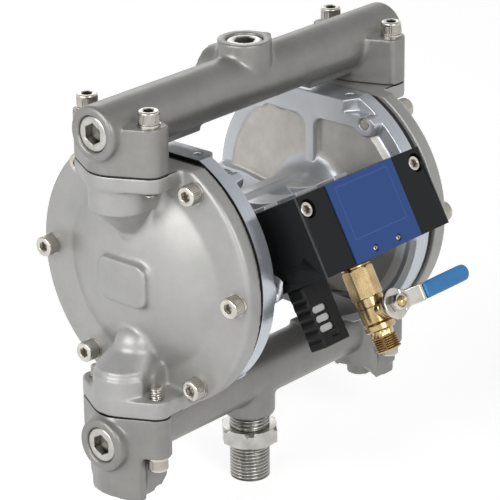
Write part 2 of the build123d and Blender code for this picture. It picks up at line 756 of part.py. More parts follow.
def make_lower_manifold():
    """Suction manifold: tube, end blocks with ears, feet, and the boss for the nipple."""
    axis = -lower_tube_axis
    tube = rod_x(tube_r, -lower_tube_half, lower_tube_half, 0, axis)
    tube = fillet(tube.edges(), tube_edge_round)
    rail = block(rail_inner_x, port_x, -rail_width / 2, rail_width / 2, axis, axis + tube_r + rail_rise)
    side = oval_plate(port_wall_r, -lower_end_bottom, -lower_joint) + rail
    side += foot_block()
    body = tube + side + other_side(side)
    boss = rod_z(lower_boss_r, -lower_boss_bottom, axis)
    body += fillet(boss.edges().group_by(Axis.Z)[0], lower_boss_round)
    cuts = rod_x(tube_bore_r, -port_x, port_x, 0, axis)
    for end in (-1, 1):
        face = end * (lower_tube_half - plug_recess - end_plug_length)
        mouth = end * (lower_tube_half + 1)
        cuts += rod_x(end_plug_r, min(face, mouth), max(face, mouth), 0, axis)
    cuts += rod_x(end_plug_r - plug_shoulder, 2 - lower_tube_half, lower_tube_half - 2, 0, axis)
    cuts += rod_z(nipple_thread_r + tapped_clearance, -lower_boss_bottom - 1,
                  -lower_boss_bottom + nipple_engagement)
    cuts += rod_z(nipple_bore_r, -lower_boss_bottom, axis)
    chamber = rod_z(seat_r + tapped_clearance, -lower_joint - seat_thick, -lower_joint + 1, port_x)
    chamber += rod_z(seat_bore_r + 2, axis, -lower_joint, port_x)
    half = port_seal_section + port_seal_room
    groove = rod_z(port_seal_r + half, -lower_joint - 2 * port_seal_section, -lower_joint + 1, port_x)
    groove -= rod_z(port_seal_r - half, axis, -lower_joint + 1, port_x)
    hole = screw_r + hole_clearance
    for ear in (-1, 1):
        chamber += rod_z(hole, -lower_end_bottom - 1, -lower_joint + 1, port_x, ear * ear_y)
    chamber += groove
    return body - cuts - chamber - other_side(chamber)


def make_nipple():
    """Hexagon nipple in the bottom boss, with the suction thread hanging down."""
    top = -lower_boss_bottom + nipple_engagement
    hex_top = -nipple_hex_top
    hexagon = hex_z(nipple_hex, hex_top - nipple_hex_height, hex_top, turn=15.0)
    corner_r = nipple_hex / sqrt(3)
    cone = rod_z(corner_r, hex_top - nipple_hex_height, hex_top)
    cone = chamfer(cone.edges(), nipple_chamfer)
    thread = rod_z(nipple_thread_r, -nipple_end, top)
    thread = chamfer(thread.edges(), nipple_chamfer)
    return (hexagon & cone) + thread - rod_z(nipple_bore_r, -nipple_end - 1, top + 1)


def make_cage():
    """Ball guide: slotted sleeve with a stop ring at its top, standing on Z = 0."""
    inner = ball_r + hole_clearance
    sleeve = rod_z(cage_r, 0, cage_height) - rod_z(inner, -1, stop_height)
    sleeve -= rod_z(cage_stop_r, 0, cage_height + 1)
    slot = block(-cage_r - 1, cage_r + 1, -cage_slot / 2, cage_slot / 2, cage_foot, stop_height)
    return sleeve - slot - Rot(0, 0, 90) * slot


def make_seat():
    """Check valve seat ring with a chamfered bore, its face at Z = 0."""
    ring = rod_z(seat_r, -seat_thick, 0) - rod_z(seat_bore_r, -seat_thick - 1, 1)
    cone = loft([Plane.XY.offset(-seat_chamfer) * Circle(seat_bore_r),
                 Plane.XY * Circle(seat_bore_r + seat_chamfer)])
    return ring - cone


def make_diaphragm():
    """Right hand diaphragm: flat clamped rim and centre with one folded ring between."""
    x0 = body_face_x
    x1 = cover_seat_x
    lift = diaphragm_fold_rise
    inner = diaphragm_fold_r - diaphragm_fold_width / 2
    outer = diaphragm_fold_r + diaphragm_fold_width / 2
    hole = shaft_stud_r + tapped_clearance
    profile = make_face(
        Polyline((x0, inner), (x0, hole), (x1, hole), (x1, inner))
        + ThreePointArc((x1, inner), (x1 + lift, diaphragm_fold_r), (x1, outer))
        + Polyline((x1, outer), (x1, diaphragm_r), (x0, diaphragm_r), (x0, outer))
        + ThreePointArc((x0, outer), (x0 + lift, diaphragm_fold_r), (x0, inner)))
    disc = revolve(profile, Axis.X)
    for y, z in bolt_spots:
        disc -= rod_x(screw_r + hole_clearance, x0 - 1, x1 + 1, y, z)
    disc -= block(x0 - 1, x1 + 1, -diaphragm_r, diaphragm_r, upper_joint - 1, diaphragm_r + 1)
    return disc - block(x0 - 1, x1 + 1, -diaphragm_r, diaphragm_r, -diaphragm_r - 1, -lower_joint + 1)


def make_shaft():
    """Centre rod with a pilot groove in the middle and a threaded stud each end."""
    end = nut_seat_x + shaft_nut_thick + stud_proud
    rod = rod_x(shaft_stud_r, -end, end) + rod_x(shaft_r, -stud_start_x, stud_start_x)
    half = shaft_groove_width / 2
    ring = rod_x(shaft_r + 1, -half, half) - rod_x(shaft_r - shaft_groove_depth, -half - 1, half + 1)
    return rod - ring


def make_plate_disc(r, x0, thick, rim):
    """Diaphragm clamp disc with a thinner rounded rim on the side away from the diaphragm."""
    disc = rod_x(r, x0, x0 + thick) - rod_x(shaft_stud_r + tapped_clearance, x0 - 1, x0 + thick + 1)
    edge = disc.edges().filter_by(GeomType.CIRCLE).sort_by(SortBy.RADIUS)[-2:].sort_by(Axis.X)
    return fillet(edge[rim], disc_rim_round)


def block_screw_seat():
    """How far out the heads of the two long screws of the air valve sit."""
    return block_front - block_screw_sunk - block_screw_head_height


def make_valve_block():
    """Air valve body: a long block with the spool bore and the ports in its underside."""
    panel_face = block_front - face_plate_thick
    body = block(-block_half, block_half, -block_bottom, block_top, block_back, panel_face)
    body = fillet(body.edges().filter_by(Axis.X), block_edge_round)
    ends = [block(side * (block_half + face_plate_half) / 2 - (block_half - face_plate_half) / 2,
                  side * (block_half + face_plate_half) / 2 + (block_half - face_plate_half) / 2,
                  -block_bottom, block_top, block_front - 2 * face_plate_thick, block_front)
            for side in (-1, 1)]
    body = body + ends[0] + ends[1]
    body -= rod_x(sleeve_r + tapped_clearance, -block_half - 1, block_half + 1, -spool_drop, spool_n)
    for side in (-1, 1):
        face = side * (block_half - end_cap_thick)
        mouth = side * (block_half + 1)
        body -= rod_x(end_cap_r + tapped_clearance, min(face, mouth), max(face, mouth), -spool_drop, spool_n)
        body -= rod_z(block_screw_r + hole_clearance, block_back - 1, block_front + 1,
                      side * block_screw_x, -block_screw_drop)
        body -= rod_z(screw_bore_r, block_screw_seat(), block_front + 1,
                      side * block_screw_x, -block_screw_drop)
    body -= drop_rod(inlet_thread_r + tapped_clearance, block_bottom - inlet_engagement - 1, block_bottom + 1,
                     0, inlet_n)
    body -= rod_x(end_hole_r, -block_half - 1, 2 * end_hole_r - block_half,
                  end_hole_rise - block_bottom, block_back + end_hole_out)
    body -= drop_rod(silencer_neck_r + tapped_clearance, block_bottom - silencer_neck_length,
                     block_bottom + 1, silencer_x, silencer_n)
    for side in (-1, 1):
        body -= rod_z(face_screw_r + tapped_clearance, block_front - face_screw_length - 2, block_front,
                      side * face_screw_x, -face_screw_drop)
    return tilt * body


def make_face_plate():
    """Plain front plate of the air valve, let into the middle of the block's face."""
    plate = block(-face_plate_half + tapped_clearance, face_plate_half - tapped_clearance,
                  -block_bottom, block_top, block_front - face_plate_thick, block_front + face_plate_proud)
    for side in (-1, 1):
        plate -= rod_z(face_screw_r + hole_clearance, block_front - 5, block_front + 2,
                       side * face_screw_x, -face_screw_drop)
    return tilt * plate


def make_spool():
    """Spool of the air valve with its three lands."""
    spool = rod_x(spool_r, -spool_half, spool_half, -spool_drop, spool_n)
    waist = spool_half - 1.5 * spool_land
    for start in (-spool_land / 2 - waist, spool_land / 2):
        ring = rod_x(spool_r + 1, start, start + waist, -spool_drop, spool_n)
        spool -= ring - rod_x(spool_r - spool_waist, start - 1, start + waist + 1, -spool_drop, spool_n)
    return tilt * spool


def make_sleeve():
    """Bored sleeve in which the spool slides."""
    sleeve = rod_x(sleeve_r, -sleeve_half, sleeve_half, -spool_drop, spool_n)
    sleeve -= rod_x(spool_r + spool_fit, -sleeve_half - 1, sleeve_half + 1, -spool_drop, spool_n)
    half = sleeve_groove_width / 2
    for x in (-sleeve_groove_pitch, 0, sleeve_groove_pitch):
        ring = rod_x(sleeve_r + 1, x - half, x + half, -spool_drop, spool_n)
        floor_r = sleeve_r - sleeve_groove_depth
        sleeve -= ring - rod_x(floor_r, x - half - 1, x + half + 1, -spool_drop, spool_n)
    return tilt * sleeve


def make_end_cap():
    """Round cap that closes the right end of the spool bore."""
    cap = rod_x(end_cap_r, block_half - end_cap_thick, block_half, -spool_drop, spool_n)
    return cap + rod_x(sleeve_r, sleeve_half, block_half - end_cap_thick, -spool_drop, spool_n)


def make_inlet_body():
    """Ball valve body: thread, collar, hexagon and round barrel with the stem boss."""
    top = block_bottom - inlet_engagement
    collar_end = block_bottom + inlet_ring_thick + inlet_collar_length
    hex_end = collar_end + inlet_hex_length
    body = drop_rod(inlet_thread_r, top, block_bottom + inlet_ring_thick, 0, inlet_n)
    body += drop_rod(inlet_collar_r, block_bottom + inlet_ring_thick, collar_end, 0, inlet_n)
    body += drop_hex(inlet_hex, collar_end, hex_end, 0, inlet_n, turn=12.0)
    body += drop_rod(inlet_body_r, hex_end, inlet_body_end, 0, inlet_n)
    groove_start = hex_end + inlet_groove_drop
    groove_end = groove_start + inlet_groove_width
    groove = drop_rod(inlet_body_r + 1, groove_start, groove_end, 0, inlet_n)
    body -= groove - drop_rod(inlet_body_r - inlet_groove_depth, groove_start - 1, groove_end + 1, 0, inlet_n)
    body += rod_z(stem_boss_r, inlet_n, stem_boss_top, 0, -inlet_ball_drop)
    body -= drop_rod(inlet_bore_r, top - 1, inlet_ball_drop, 0, inlet_n)
    body -= drop_rod(inlet_seat_r + inlet_seat_clearance, inlet_ball_drop - inlet_ball_r + 1,
                     inlet_body_end + 1, 0, inlet_n)
    body -= rod_z(stem_r + tapped_clearance, inlet_n, stem_boss_top + 1, 0, -inlet_ball_drop)
    return body


def make_inlet_cap():
    """Screwed end of the ball valve: ring, small hexagon and the male air thread."""
    ring_end = inlet_body_end + inlet_cap_length
    neck_end = ring_end + inlet_neck_length
    seat_top = inlet_ball_drop + inlet_ball_r - 1
    cap = drop_rod(inlet_cap_r, inlet_body_end, ring_end, 0, inlet_n)
    cap += drop_rod(inlet_seat_r, seat_top, inlet_body_end, 0, inlet_n)
    cap += drop_hex(inlet_neck_hex, ring_end, neck_end, 0, inlet_n)
    thread = drop_rod(inlet_thread_r, neck_end, neck_end + inlet_thread_length, 0, inlet_n)
    cap += chamfer(thread.edges().sort_by(Axis.Y)[0], 0.8)
    return cap - drop_rod(inlet_bore_r, seat_top - 1, neck_end + inlet_thread_length + 1, 0, inlet_n)


def make_inlet_ball():
    """Bored ball of the inlet valve, drawn shut: its bore lies along X."""
    bore = inlet_ball_bore_r
    half = sqrt(inlet_ball_r ** 2 - bore ** 2)
    crown = ThreePointArc((half, bore), (0, inlet_ball_r), (-half, bore))
    outline = Line((-half, bore), (half, bore)) + crown
    return Pos(0, -inlet_ball_drop, inlet_n) * revolve(make_face(outline), Axis.X)


def make_lever():
    """Pressed steel lever: round hub on the stem, a joggle that flares, and the tapered arm."""
    raised = lever_base + lever_step
    reach = lever_hub_r + 1
    under = lever_step_start - lever_thick / 2
    over = lever_step_end - lever_thick / 2
    side = Plane.XZ * make_face(Polyline(
        (-reach, lever_base), (lever_step_start, lever_base),
        (lever_step_end, raised), (lever_length, raised),
        (lever_length, raised + lever_thick), (over, raised + lever_thick),
        (under, lever_base + lever_thick), (-reach, lever_base + lever_thick), (-reach, lever_base)))
    band = extrude(side, 2 * reach, both=True)
    half = lever_arm_width / 2
    flare = lever_flare_width / 2
    tip = Pos(lever_length - half, 0) * Circle(half)
    joggle = Pos(lever_step_end - flare + 2, 0) * Circle(flare)
    arm = make_hull((Circle(flare) + joggle).edges())
    arm += make_hull((joggle + tip).edges())
    outline = Circle(lever_hub_r) + arm
    plan = extrude(Plane.XY.offset(lever_base - 1) * outline, lever_step + lever_thick + 2)
    lever = Pos(0, -inlet_ball_drop, 0) * (band & plan)
    return lever - rod_z(stem_r + 0.1, lever_base - 1, lever_base + lever_thick + 1, 0, -inlet_ball_drop)


def make_grip(lever):
    """Dipped vinyl sleeve over the lever's arm."""
    middle = lever_base + lever_step + lever_thick / 2
    half = grip_width / 2
    far_end = Pos(lever_length + grip_cover - half, 0) * Circle(half)
    near_end = Pos(grip_start + half, 0) * Rectangle(2 * half, 2 * half)
    outline = make_hull((far_end + near_end).edges())
    grip = extrude(Plane.XY.offset(middle) * outline, grip_thick / 2, both=True)
    grip = fillet(grip.edges().group_by(Axis.Z)[-1] + grip.edges().group_by(Axis.Z)[0], grip_round)
    return Pos(0, -inlet_ball_drop, 0) * grip - lever


def silencer_slots(n0, n1):
    """Three round-ended slots across the silencer's front."""
    shape = SlotOverall(silencer_slot_length, silencer_slot_height)
    x = silencer_x + silencer_slot_shift
    first = block_bottom + silencer_slot_first
    spots = [Pos(x, -first - i * silencer_slot_pitch) for i in range(3)]
    slots = [extrude(Plane.XY.offset(n0) * spot * shape, n1 - n0) for spot in spots]
    return slots[0] + slots[1] + slots[2]


def make_silencer():
    """Moulded exhaust silencer, hollow, with three slots in its front."""
    top = block_bottom + silencer_top_gap
    n0 = silencer_n - silencer_depth / 2
    n1 = silencer_n + silencer_depth / 2
    x0 = silencer_x - silencer_width / 2
    x1 = silencer_x + silencer_width / 2
    case = block(x0, x1, -silencer_bottom, -top, n0, n1)
    case = fillet(case.edges().filter_by(Axis.Y), silencer_corner)
    wall = silencer_wall
    case -= block(x0 + wall, x1 - wall, -silencer_bottom + wall, -top - silencer_head, n0 + wall, n1 - wall)
    case -= silencer_slots(n1 - wall - 1, n1 + 1)
    edge = silencer_notch_r - silencer_notch_depth
    for i in range(5):
        drop = -top - silencer_notch_first - i * silencer_slot_pitch
        case -= [rod_z(silencer_notch_r, n0 - 1, n1 + 1, x, drop) for x in (x0 - edge, x1 + edge)]
    mark = silencer_mark_rise - silencer_bottom
    half = silencer_mark_width / 2
    case -= block(silencer_x - half, silencer_x + half, mark - silencer_mark_height / 2,
                  mark + silencer_mark_height / 2, n1 - silencer_mark_depth, n1 + 1)
    neck_top = block_bottom - silencer_neck_length + silencer_top_gap
    case += drop_rod(silencer_neck_r, neck_top, top + 1, silencer_x, silencer_n)
    case -= drop_rod(silencer_neck_r - wall, neck_top - 1, top + silencer_head + 1, silencer_x, silencer_n)
    return case


def make_silencer_element():
    """Felt block inside the silencer."""
    gap = silencer_wall + silencer_felt_gap
    n0 = silencer_n - silencer_depth / 2 + gap
    n1 = silencer_n + silencer_depth / 2 - gap
    x0 = silencer_x - silencer_width / 2 + gap
    x1 = silencer_x + silencer_width / 2 - gap
    return block(x0, x1, -silencer_bottom + gap, -block_bottom - silencer_top_gap - silencer_head - 1, n0, n1)


def cover_screws():
    """Six cap screws of the right hand cover."""
    screw = Rot(0, 90, 0) * socket_screw(cover_screw_length)
    return [Pos(cover_face_x + washer_thick, y, z) * screw for y, z in bolt_spots]


def cover_washers():
    """Six spring washers of the right hand cover."""
    return [Pos(cover_face_x, y, z) * Rot(0, 90, 0) * spring_washer() for y, z in bolt_spots]


os.makedirs("parts", exist_ok=True)

# Castings
cover = make_cover()
save("cover_right", cover)
save("cover_left", other_side(cover))
save("centre_body", make_body())
save("upper_manifold", make_upper_manifold())
save("lower_manifold", make_lower_manifold())
save("suction_nipple", make_nipple())

# Fasteners of the casing
right_screws = cover_screws()
save_group("cover_screws_right", right_screws)
save_group("cover_screws_left", [other_side(screw) for screw in right_screws])
right_washers = cover_washers()
save_group("cover_washers", right_washers + [other_side(washer) for washer in right_washers])
ear_spots = [(end * port_x, side * ear_y) for end in (-1, 1) for side in (-1, 1)]
save_group("upper_manifold_screws",
           [Pos(x, y, upper_end_top + washer_thick) * socket_screw(upper_screw_length) for x, y in ear_spots])
save_group("lower_manifold_screws",
           [Pos(x, y, -lower_end_bottom - washer_thick) * Rot(180, 0, 0) * socket_screw(lower_screw_length)
            for x, y in ear_spots])
save_group("manifold_washers",
           [Pos(x, y, upper_end_top) * spring_washer() for x, y in ear_spots]
           + [Pos(x, y, -lower_end_bottom - washer_thick) * spring_washer() for x, y in ear_spots])

# Plugs
upper_plug = Pos(upper_tube_half - plug_recess, 0, upper_tube_axis) * Rot(0, 90, 0)
lower_plug = Pos(lower_tube_half - plug_recess, 0, -lower_tube_axis) * Rot(0, 90, 0)
plug = socket_plug(end_plug_r - tapped_clearance, end_plug_length)
save_group("upper_end_plugs", [upper_plug * plug, other_side(upper_plug * plug)])
save_group("lower_end_plugs", [lower_plug * plug, other_side(lower_plug * plug)])
save("top_plug", Pos(0, 0, top_boss_top - plug_recess)
     * socket_plug(top_plug_r - tapped_clearance, top_plug_length))

# Check valves
seat = make_seat()
cage = make_cage()
ball = Sphere(ball_r)
ring = Torus(port_seal_r, port_seal_section)
upper_port = Pos(port_x, 0, upper_joint)
lower_port = Pos(port_x, 0, -lower_joint)
save_group("discharge_seats", [upper_port * seat, other_side(upper_port * seat)])
save_group("suction_seats", [lower_port * seat, other_side(lower_port * seat)])
save_group("discharge_cages", [upper_port * cage, other_side(upper_port * cage)])
save_group("suction_cages", [lower_port * cage, other_side(lower_port * cage)])
ring_lift = Pos(0, 0, port_seal_section)
save_group("port_seals", [upper_port * ring_lift * ring, other_side(upper_port * ring_lift * ring),
                          lower_port * ring_lift.inverse() * ring,
                          other_side(lower_port * ring_lift.inverse() * ring)])
rest = Pos(0, 0, ball_rest)
save("discharge_ball_right", upper_port * rest * ball)
save("discharge_ball_left", other_side(upper_port * rest * ball))
save("suction_ball_right", lower_port * rest * ball)
save("suction_ball_left", other_side(lower_port * rest * ball))

# Shaft assembly
diaphragm = make_diaphragm()
save("diaphragm_right", diaphragm)
save("diaphragm_left", other_side(diaphragm))
save("centre_shaft", make_shaft())
inner = make_plate_disc(inner_disc_r, stud_start_x, inner_disc_thick, 0)
outer = make_plate_disc(outer_disc_r, cover_seat_x, outer_disc_thick, 1)
save_group("inner_discs", [inner, other_side(inner)])
save_group("outer_discs", [outer, other_side(outer)])
nut = hex_x(shaft_nut_width, nut_seat_x, nut_seat_x + shaft_nut_thick)
nut -= rod_x(shaft_stud_r + tapped_clearance, nut_seat_x - 1, nut_seat_x + shaft_nut_thick + 1)
save_group("shaft_nuts", [nut, other_side(nut)])
bush = rod_x(bush_r, bush_start, bush_start + bush_length)
bush -= rod_x(shaft_r + bush_fit, bush_start - 1, bush_start + bush_length + 1)
save_group("shaft_bushes", [bush, other_side(bush)])
packing = rod_x(bush_r, bush_start + bush_length, chamber_floor_x)
packing -= rod_x(shaft_r + shaft_seal_clearance, bush_start, chamber_floor_x + 1)
save_group("shaft_seals", [packing, other_side(packing)])

# Air valve
save("valve_block", make_valve_block())
save("valve_face_plate", make_face_plate())
gasket = block(-pedestal_half, pedestal_half, -pedestal_bottom, block_top - 3,
               block_back - gasket_thick, block_back)
save("valve_gasket", tilt * gasket)
save("valve_spool", make_spool())
save("valve_sleeve", make_sleeve())
end_cap = make_end_cap()
save_group("valve_end_caps", [tilt * end_cap, tilt * mirror(end_cap, Plane.YZ)])
head_seat = block_screw_seat()
long_screw = socket_screw(head_seat - block_back + block_screw_grip - 2, block_screw_r, block_screw_head_r,
                          block_screw_head_height, block_screw_socket)
save_group("valve_block_screws",
           [tilt * Pos(side * block_screw_x, -block_screw_drop, head_seat) * long_screw for side in (-1, 1)])
small_screw = rod_z(face_screw_r, block_front - face_screw_length, block_front + face_plate_proud / 3)
small_screw -= hex_z(face_screw_socket, block_front - face_screw_socket, block_front + 1)
save_group("face_plate_screws",
           [tilt * Pos(side * face_screw_x, -face_screw_drop, 0) * small_screw for side in (-1, 1)])

# Air inlet ball valve
save("inlet_valve_body", tilt * make_inlet_body())
save("inlet_valve_cap", tilt * make_inlet_cap())
o_ring = drop_rod(inlet_collar_r + inlet_ring_lap, block_bottom, block_bottom + inlet_ring_thick, 0, inlet_n)
o_ring -= drop_rod(inlet_thread_r + tapped_clearance, block_bottom - 1, block_bottom + 9, 0, inlet_n)
save("inlet_seal_ring", tilt * o_ring)
gland = hex_z(gland_hex, stem_boss_top, gland_top, 0, -inlet_ball_drop)
gland -= rod_z(stem_r + tapped_clearance, stem_boss_top - 1, gland_top + 1, 0, -inlet_ball_drop)
save("stem_gland", tilt * gland)
save("inlet_ball", tilt * make_inlet_ball())
stem = rod_z(stem_r, inlet_n + inlet_ball_r - 0.4, inlet_n + stem_height, 0, -inlet_ball_drop)
stem -= Pos(0, -inlet_ball_drop, inlet_n) * Sphere(inlet_ball_r)
save("inlet_stem", tilt * stem)
lever = make_lever()
save("inlet_lever", tilt * lever)
save("lever_grip", tilt * make_grip(lever))
nut_base = lever_base + lever_thick
lever_nut = hex_z(lever_nut_width, nut_base, nut_base + lever_nut_thick, 0, -inlet_ball_drop)
lever_nut -= rod_z(stem_r + tapped_clearance, nut_base - 1, nut_base + lever_nut_thick + 1,
                   0, -inlet_ball_drop)
save("lever_nut", tilt * lever_nut)

# Silencer
save("silencer_case", tilt * make_silencer())
save("silencer_element", tilt * make_silencer_element())
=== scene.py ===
from math import cos, pi, radians, sin

import bmesh
import bpy
import numpy as np
from mathutils import Matrix, Vector


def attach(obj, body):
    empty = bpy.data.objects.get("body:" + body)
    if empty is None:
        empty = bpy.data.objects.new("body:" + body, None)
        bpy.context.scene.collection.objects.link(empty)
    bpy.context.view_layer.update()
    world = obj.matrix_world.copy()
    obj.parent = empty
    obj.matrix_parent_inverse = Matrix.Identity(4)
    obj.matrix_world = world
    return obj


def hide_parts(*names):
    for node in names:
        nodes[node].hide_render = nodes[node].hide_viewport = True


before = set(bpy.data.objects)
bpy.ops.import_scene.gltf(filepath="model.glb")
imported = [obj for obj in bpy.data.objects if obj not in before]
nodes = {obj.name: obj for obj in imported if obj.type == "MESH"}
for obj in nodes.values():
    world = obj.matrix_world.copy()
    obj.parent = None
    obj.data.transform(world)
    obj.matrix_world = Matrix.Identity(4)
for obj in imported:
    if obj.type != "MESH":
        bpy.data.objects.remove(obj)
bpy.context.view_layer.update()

# Covers
# Two investment cast stainless covers, glass-bead blasted, with their elbow ports cast on. Inside corners are
# filled and edges eased, as in a casting, and black sealing lines show at the joints with the manifolds.
shaft_height = 0.1385
upper_joint_height = shaft_height + 0.0753
lower_joint_height = shaft_height - 0.0819
joint_line_half = 0.0007
joint_face_half = 0.00022
joint_black = (0.012, 0.012, 0.011)
weld_distance = 2e-6
fill_share = 0.7
ease_share = 0.6
steps_per_normal = 4
noise_low = 0.3
noise_high = 0.7


def placed(name, data):
    """New object that puts the data into the scene."""
    piece = bpy.data.objects.new(name, data)
    bpy.context.scene.collection.objects.link(piece)
    return piece


def welded_copy(node):
    """Copy of a CAD node's mesh, and a working copy of it with its loose triangles merged."""
    mesh = nodes[node].data.copy()
    work = bmesh.new()
    work.from_mesh(mesh)
    bmesh.ops.remove_doubles(work, verts=work.verts, dist=weld_distance)
    return mesh, work


def baked_mesh(piece):
    """Replace a piece's mesh by what its modifiers make of it, and drop the modifiers."""
    shown = piece.evaluated_get(bpy.context.evaluated_depsgraph_get())
    mesh = bpy.data.meshes.new_from_object(shown)
    piece.modifiers.clear()
    piece.data = mesh
    return mesh


def read_rows(items, field, kind, width, row):
    """One field of a mesh's items, width numbers for each, as an array with rows of the given length."""
    values = np.empty(len(items) * width, kind)
    items.foreach_get(field, values)
    return values.reshape(-1, row)


def neighbour_mean(points, edges):
    """For each point, the mean of the points that share an edge with it."""
    count = len(points)
    ends = np.concatenate([edges, edges[:, ::-1]])
    share = np.maximum(np.bincount(ends[:, 0], minlength=count), 1)
    total = [np.bincount(ends[:, 0], points[ends[:, 1], k], count) for k in range(3)]
    return np.stack(total, 1) / share[:, None]


def point_normals(points, faces):
    """For each point, the sum of the normals of its four-sided faces, made one unit long."""
    cross = np.cross(points[faces[:, 2]] - points[faces[:, 0]], points[faces[:, 3]] - points[faces[:, 1]])
    normals = np.zeros_like(points)
    for corner in range(4):
        for k in range(3):
            normals[:, k] += np.bincount(faces[:, corner], cross[:, k], len(points))
    return normals / np.maximum(np.linalg.norm(normals, axis=1), 1e-12)[:, None]


def cast_skin(node, name, grid, fill_steps, ease_steps, most_faces):
    """Casting from a CAD solid: welded, laid on an even grid, then moved towards the mean of its neighbours.

    A point first moves only where that mean lies outside the surface, which fills the inside corners with
    a fillet. A few steps then move every point, which eases the outer edges.
    """
    mesh, work = welded_copy(node)
    work.to_mesh(mesh)
    work.free()
    piece = placed(name, mesh)
    even = piece.modifiers.new("even_grid", "REMESH")
    even.mode = "VOXEL"
    even.voxel_size = grid
    mesh = baked_mesh(piece)
    points = read_rows(mesh.vertices, "co", float, 3, 3)
    edges = read_rows(mesh.edges, "vertices", np.int64, 2, 2)
    faces = read_rows(mesh.loops, "vertex_index", np.int64, 1, 4)
    for step in range(fill_steps):
        if step % steps_per_normal == 0:
            normals = point_normals(points, faces)
        pull = neighbour_mean(points, edges) - points
        hollow = (pull * normals).sum(1) > 0
        points[hollow] += fill_share * pull[hollow]
    for _ in range(ease_steps):
        points += ease_share * (neighbour_mean(points, edges) - points)
    mesh.vertices.foreach_set("co", points.ravel())
    mesh.update()
    thin = piece.modifiers.new("thin_flat_parts", "DECIMATE")
    thin.ratio = min(1.0, most_faces / (2 * len(faces)))
    baked_mesh(piece).shade_smooth()
    return piece


def surface_of(material):
    """The shader that ends a material's nodes."""
    return material.node_tree.nodes["Principled BSDF"]


def new_material(name, colour, metallic, roughness, specular=0.5):
    """A surface with one uniform colour, metallic share, roughness and specular level."""
    material = bpy.data.materials.new(name)
    material.use_nodes = True
    for socket, value in (("Base Color", (*colour, 1.0)), ("Metallic", metallic), ("Roughness", roughness),
                          ("Specular IOR Level", specular)):
        surface_of(material).inputs[socket].default_value = value
    return material


def feed(material, socket, source):
    """Use an output for one of the surface's sockets."""
    material.node_tree.links.new(source, surface_of(material).inputs[socket])


def noise(material, scale, detail=2.0, stretch=(1.0, 1.0, 1.0), fineness=0.5):
    """Noise in the piece's own coordinates, each of them first multiplied by its stretch.

    Scale is how many lumps lie in a metre, detail how many finer layers are added, and fineness how much
    each of these counts beside the one before.
    """
    tree = material.node_tree
    place = tree.nodes.new("ShaderNodeTexCoord")
    spread = tree.nodes.new("ShaderNodeMapping")
    spread.inputs["Scale"].default_value = stretch
    grain = tree.nodes.new("ShaderNodeTexNoise")
    for socket, value in (("Scale", scale), ("Detail", detail), ("Roughness", fineness)):
        grain.inputs[socket].default_value = value
    tree.links.new(place.outputs["Object"], spread.inputs["Vector"])
    tree.links.new(spread.outputs["Vector"], grain.inputs["Vector"])
    return grain.outputs["Fac"]


def ramp(material, source, dark, light):
    """Colour that runs from dark to light over the range in which nearly all of a noise lies."""
    band = material.node_tree.nodes.new("ShaderNodeValToRGB")
    for stop, position, colour in zip(band.color_ramp.elements, (noise_low, noise_high), (dark, light)):
        stop.position = position
        stop.color = (*colour, 1.0)
    material.node_tree.links.new(source, band.inputs["Fac"])
    return band.outputs["Color"]


def between(material, source, start, end, first, last):
    """Number that runs from first to last as the source runs from start to end."""
    span = material.node_tree.nodes.new("ShaderNodeMapRange")
    for socket, value in (("From Min", start), ("From Max", end), ("To Min", first), ("To Max", last)):
        span.inputs[socket].default_value = value
    material.node_tree.links.new(source, span.inputs["Value"])
    return span.outputs["Result"]


def vary_roughness(material, source, low, high):
    """Roughness that runs from low to high as the source runs from 0 to 1."""
    feed(material, "Roughness", between(material, source, 0.0, 1.0, low, high))


def bump(material, source, depth, strength):
    """Relief of the given depth in metres, on top of any relief that is there already."""
    tree = material.node_tree
    normal = surface_of(material).inputs["Normal"]
    relief = tree.nodes.new("ShaderNodeBump")
    relief.inputs["Distance"].default_value = depth
    relief.inputs["Strength"].default_value = strength
    tree.links.new(source, relief.inputs["Height"])
    if normal.is_linked:
        tree.links.new(normal.links[0].from_socket, relief.inputs["Normal"])
    tree.links.new(relief.outputs["Normal"], normal)


def shade(colour, factor):
    """The same colour, lighter or darker by a factor."""
    return tuple(channel * factor for channel in colour)


def sums(material, *terms):
    """Join outputs and numbers by the operations between them, read from the left.

    An operation on one value, such as ABSOLUTE, is followed by a 0.0 that it makes no use of.
    """
    tree = material.node_tree
    result = terms[0]
    for operation, term in zip(terms[1::2], terms[2::2]):
        node = tree.nodes.new("ShaderNodeMath")
        node.operation = operation
        for socket, value in zip(node.inputs, (result, term)):
            if isinstance(value, (int, float)):
                socket.default_value = value
            else:
                tree.links.new(value, socket)
        result = node.outputs["Value"]
    return result


def beyond(material, source, reach):
    """1 where the source, whatever its sign, is more than the reach, and 0 elsewhere."""
    return sums(material, source, "ABSOLUTE", 0.0, "GREATER_THAN", reach)


def within(material, source, reach):
    """1 where the source, whatever its sign, is less than the reach, and 0 elsewhere."""
    return sums(material, source, "ABSOLUTE", 0.0, "LESS_THAN", reach)


def place_parts(material, kind="Object"):
    """The X, Y and Z of each place in one kind of coordinates, as three outputs."""
    tree = material.node_tree
    place = tree.nodes.new("ShaderNodeTexCoord")
    parts = tree.nodes.new("ShaderNodeSeparateXYZ")
    tree.links.new(place.outputs[kind], parts.inputs["Vector"])
    return parts.outputs["X"], parts.outputs["Y"], parts.outputs["Z"]


def blend(material, share, first, second):
    """Colour that goes from the first to the second as the share goes from 0 to 1."""
    tree = material.node_tree
    mix = tree.nodes.new("ShaderNodeMix")
    mix.data_type = "RGBA"
    for socket, value in ((mix.inputs[0], share), (mix.inputs[6], first), (mix.inputs[7], second)):
        if isinstance(value, tuple):
            socket.default_value = (*value, 1.0)
        else:
            tree.links.new(value, socket)
    return mix.outputs[2]


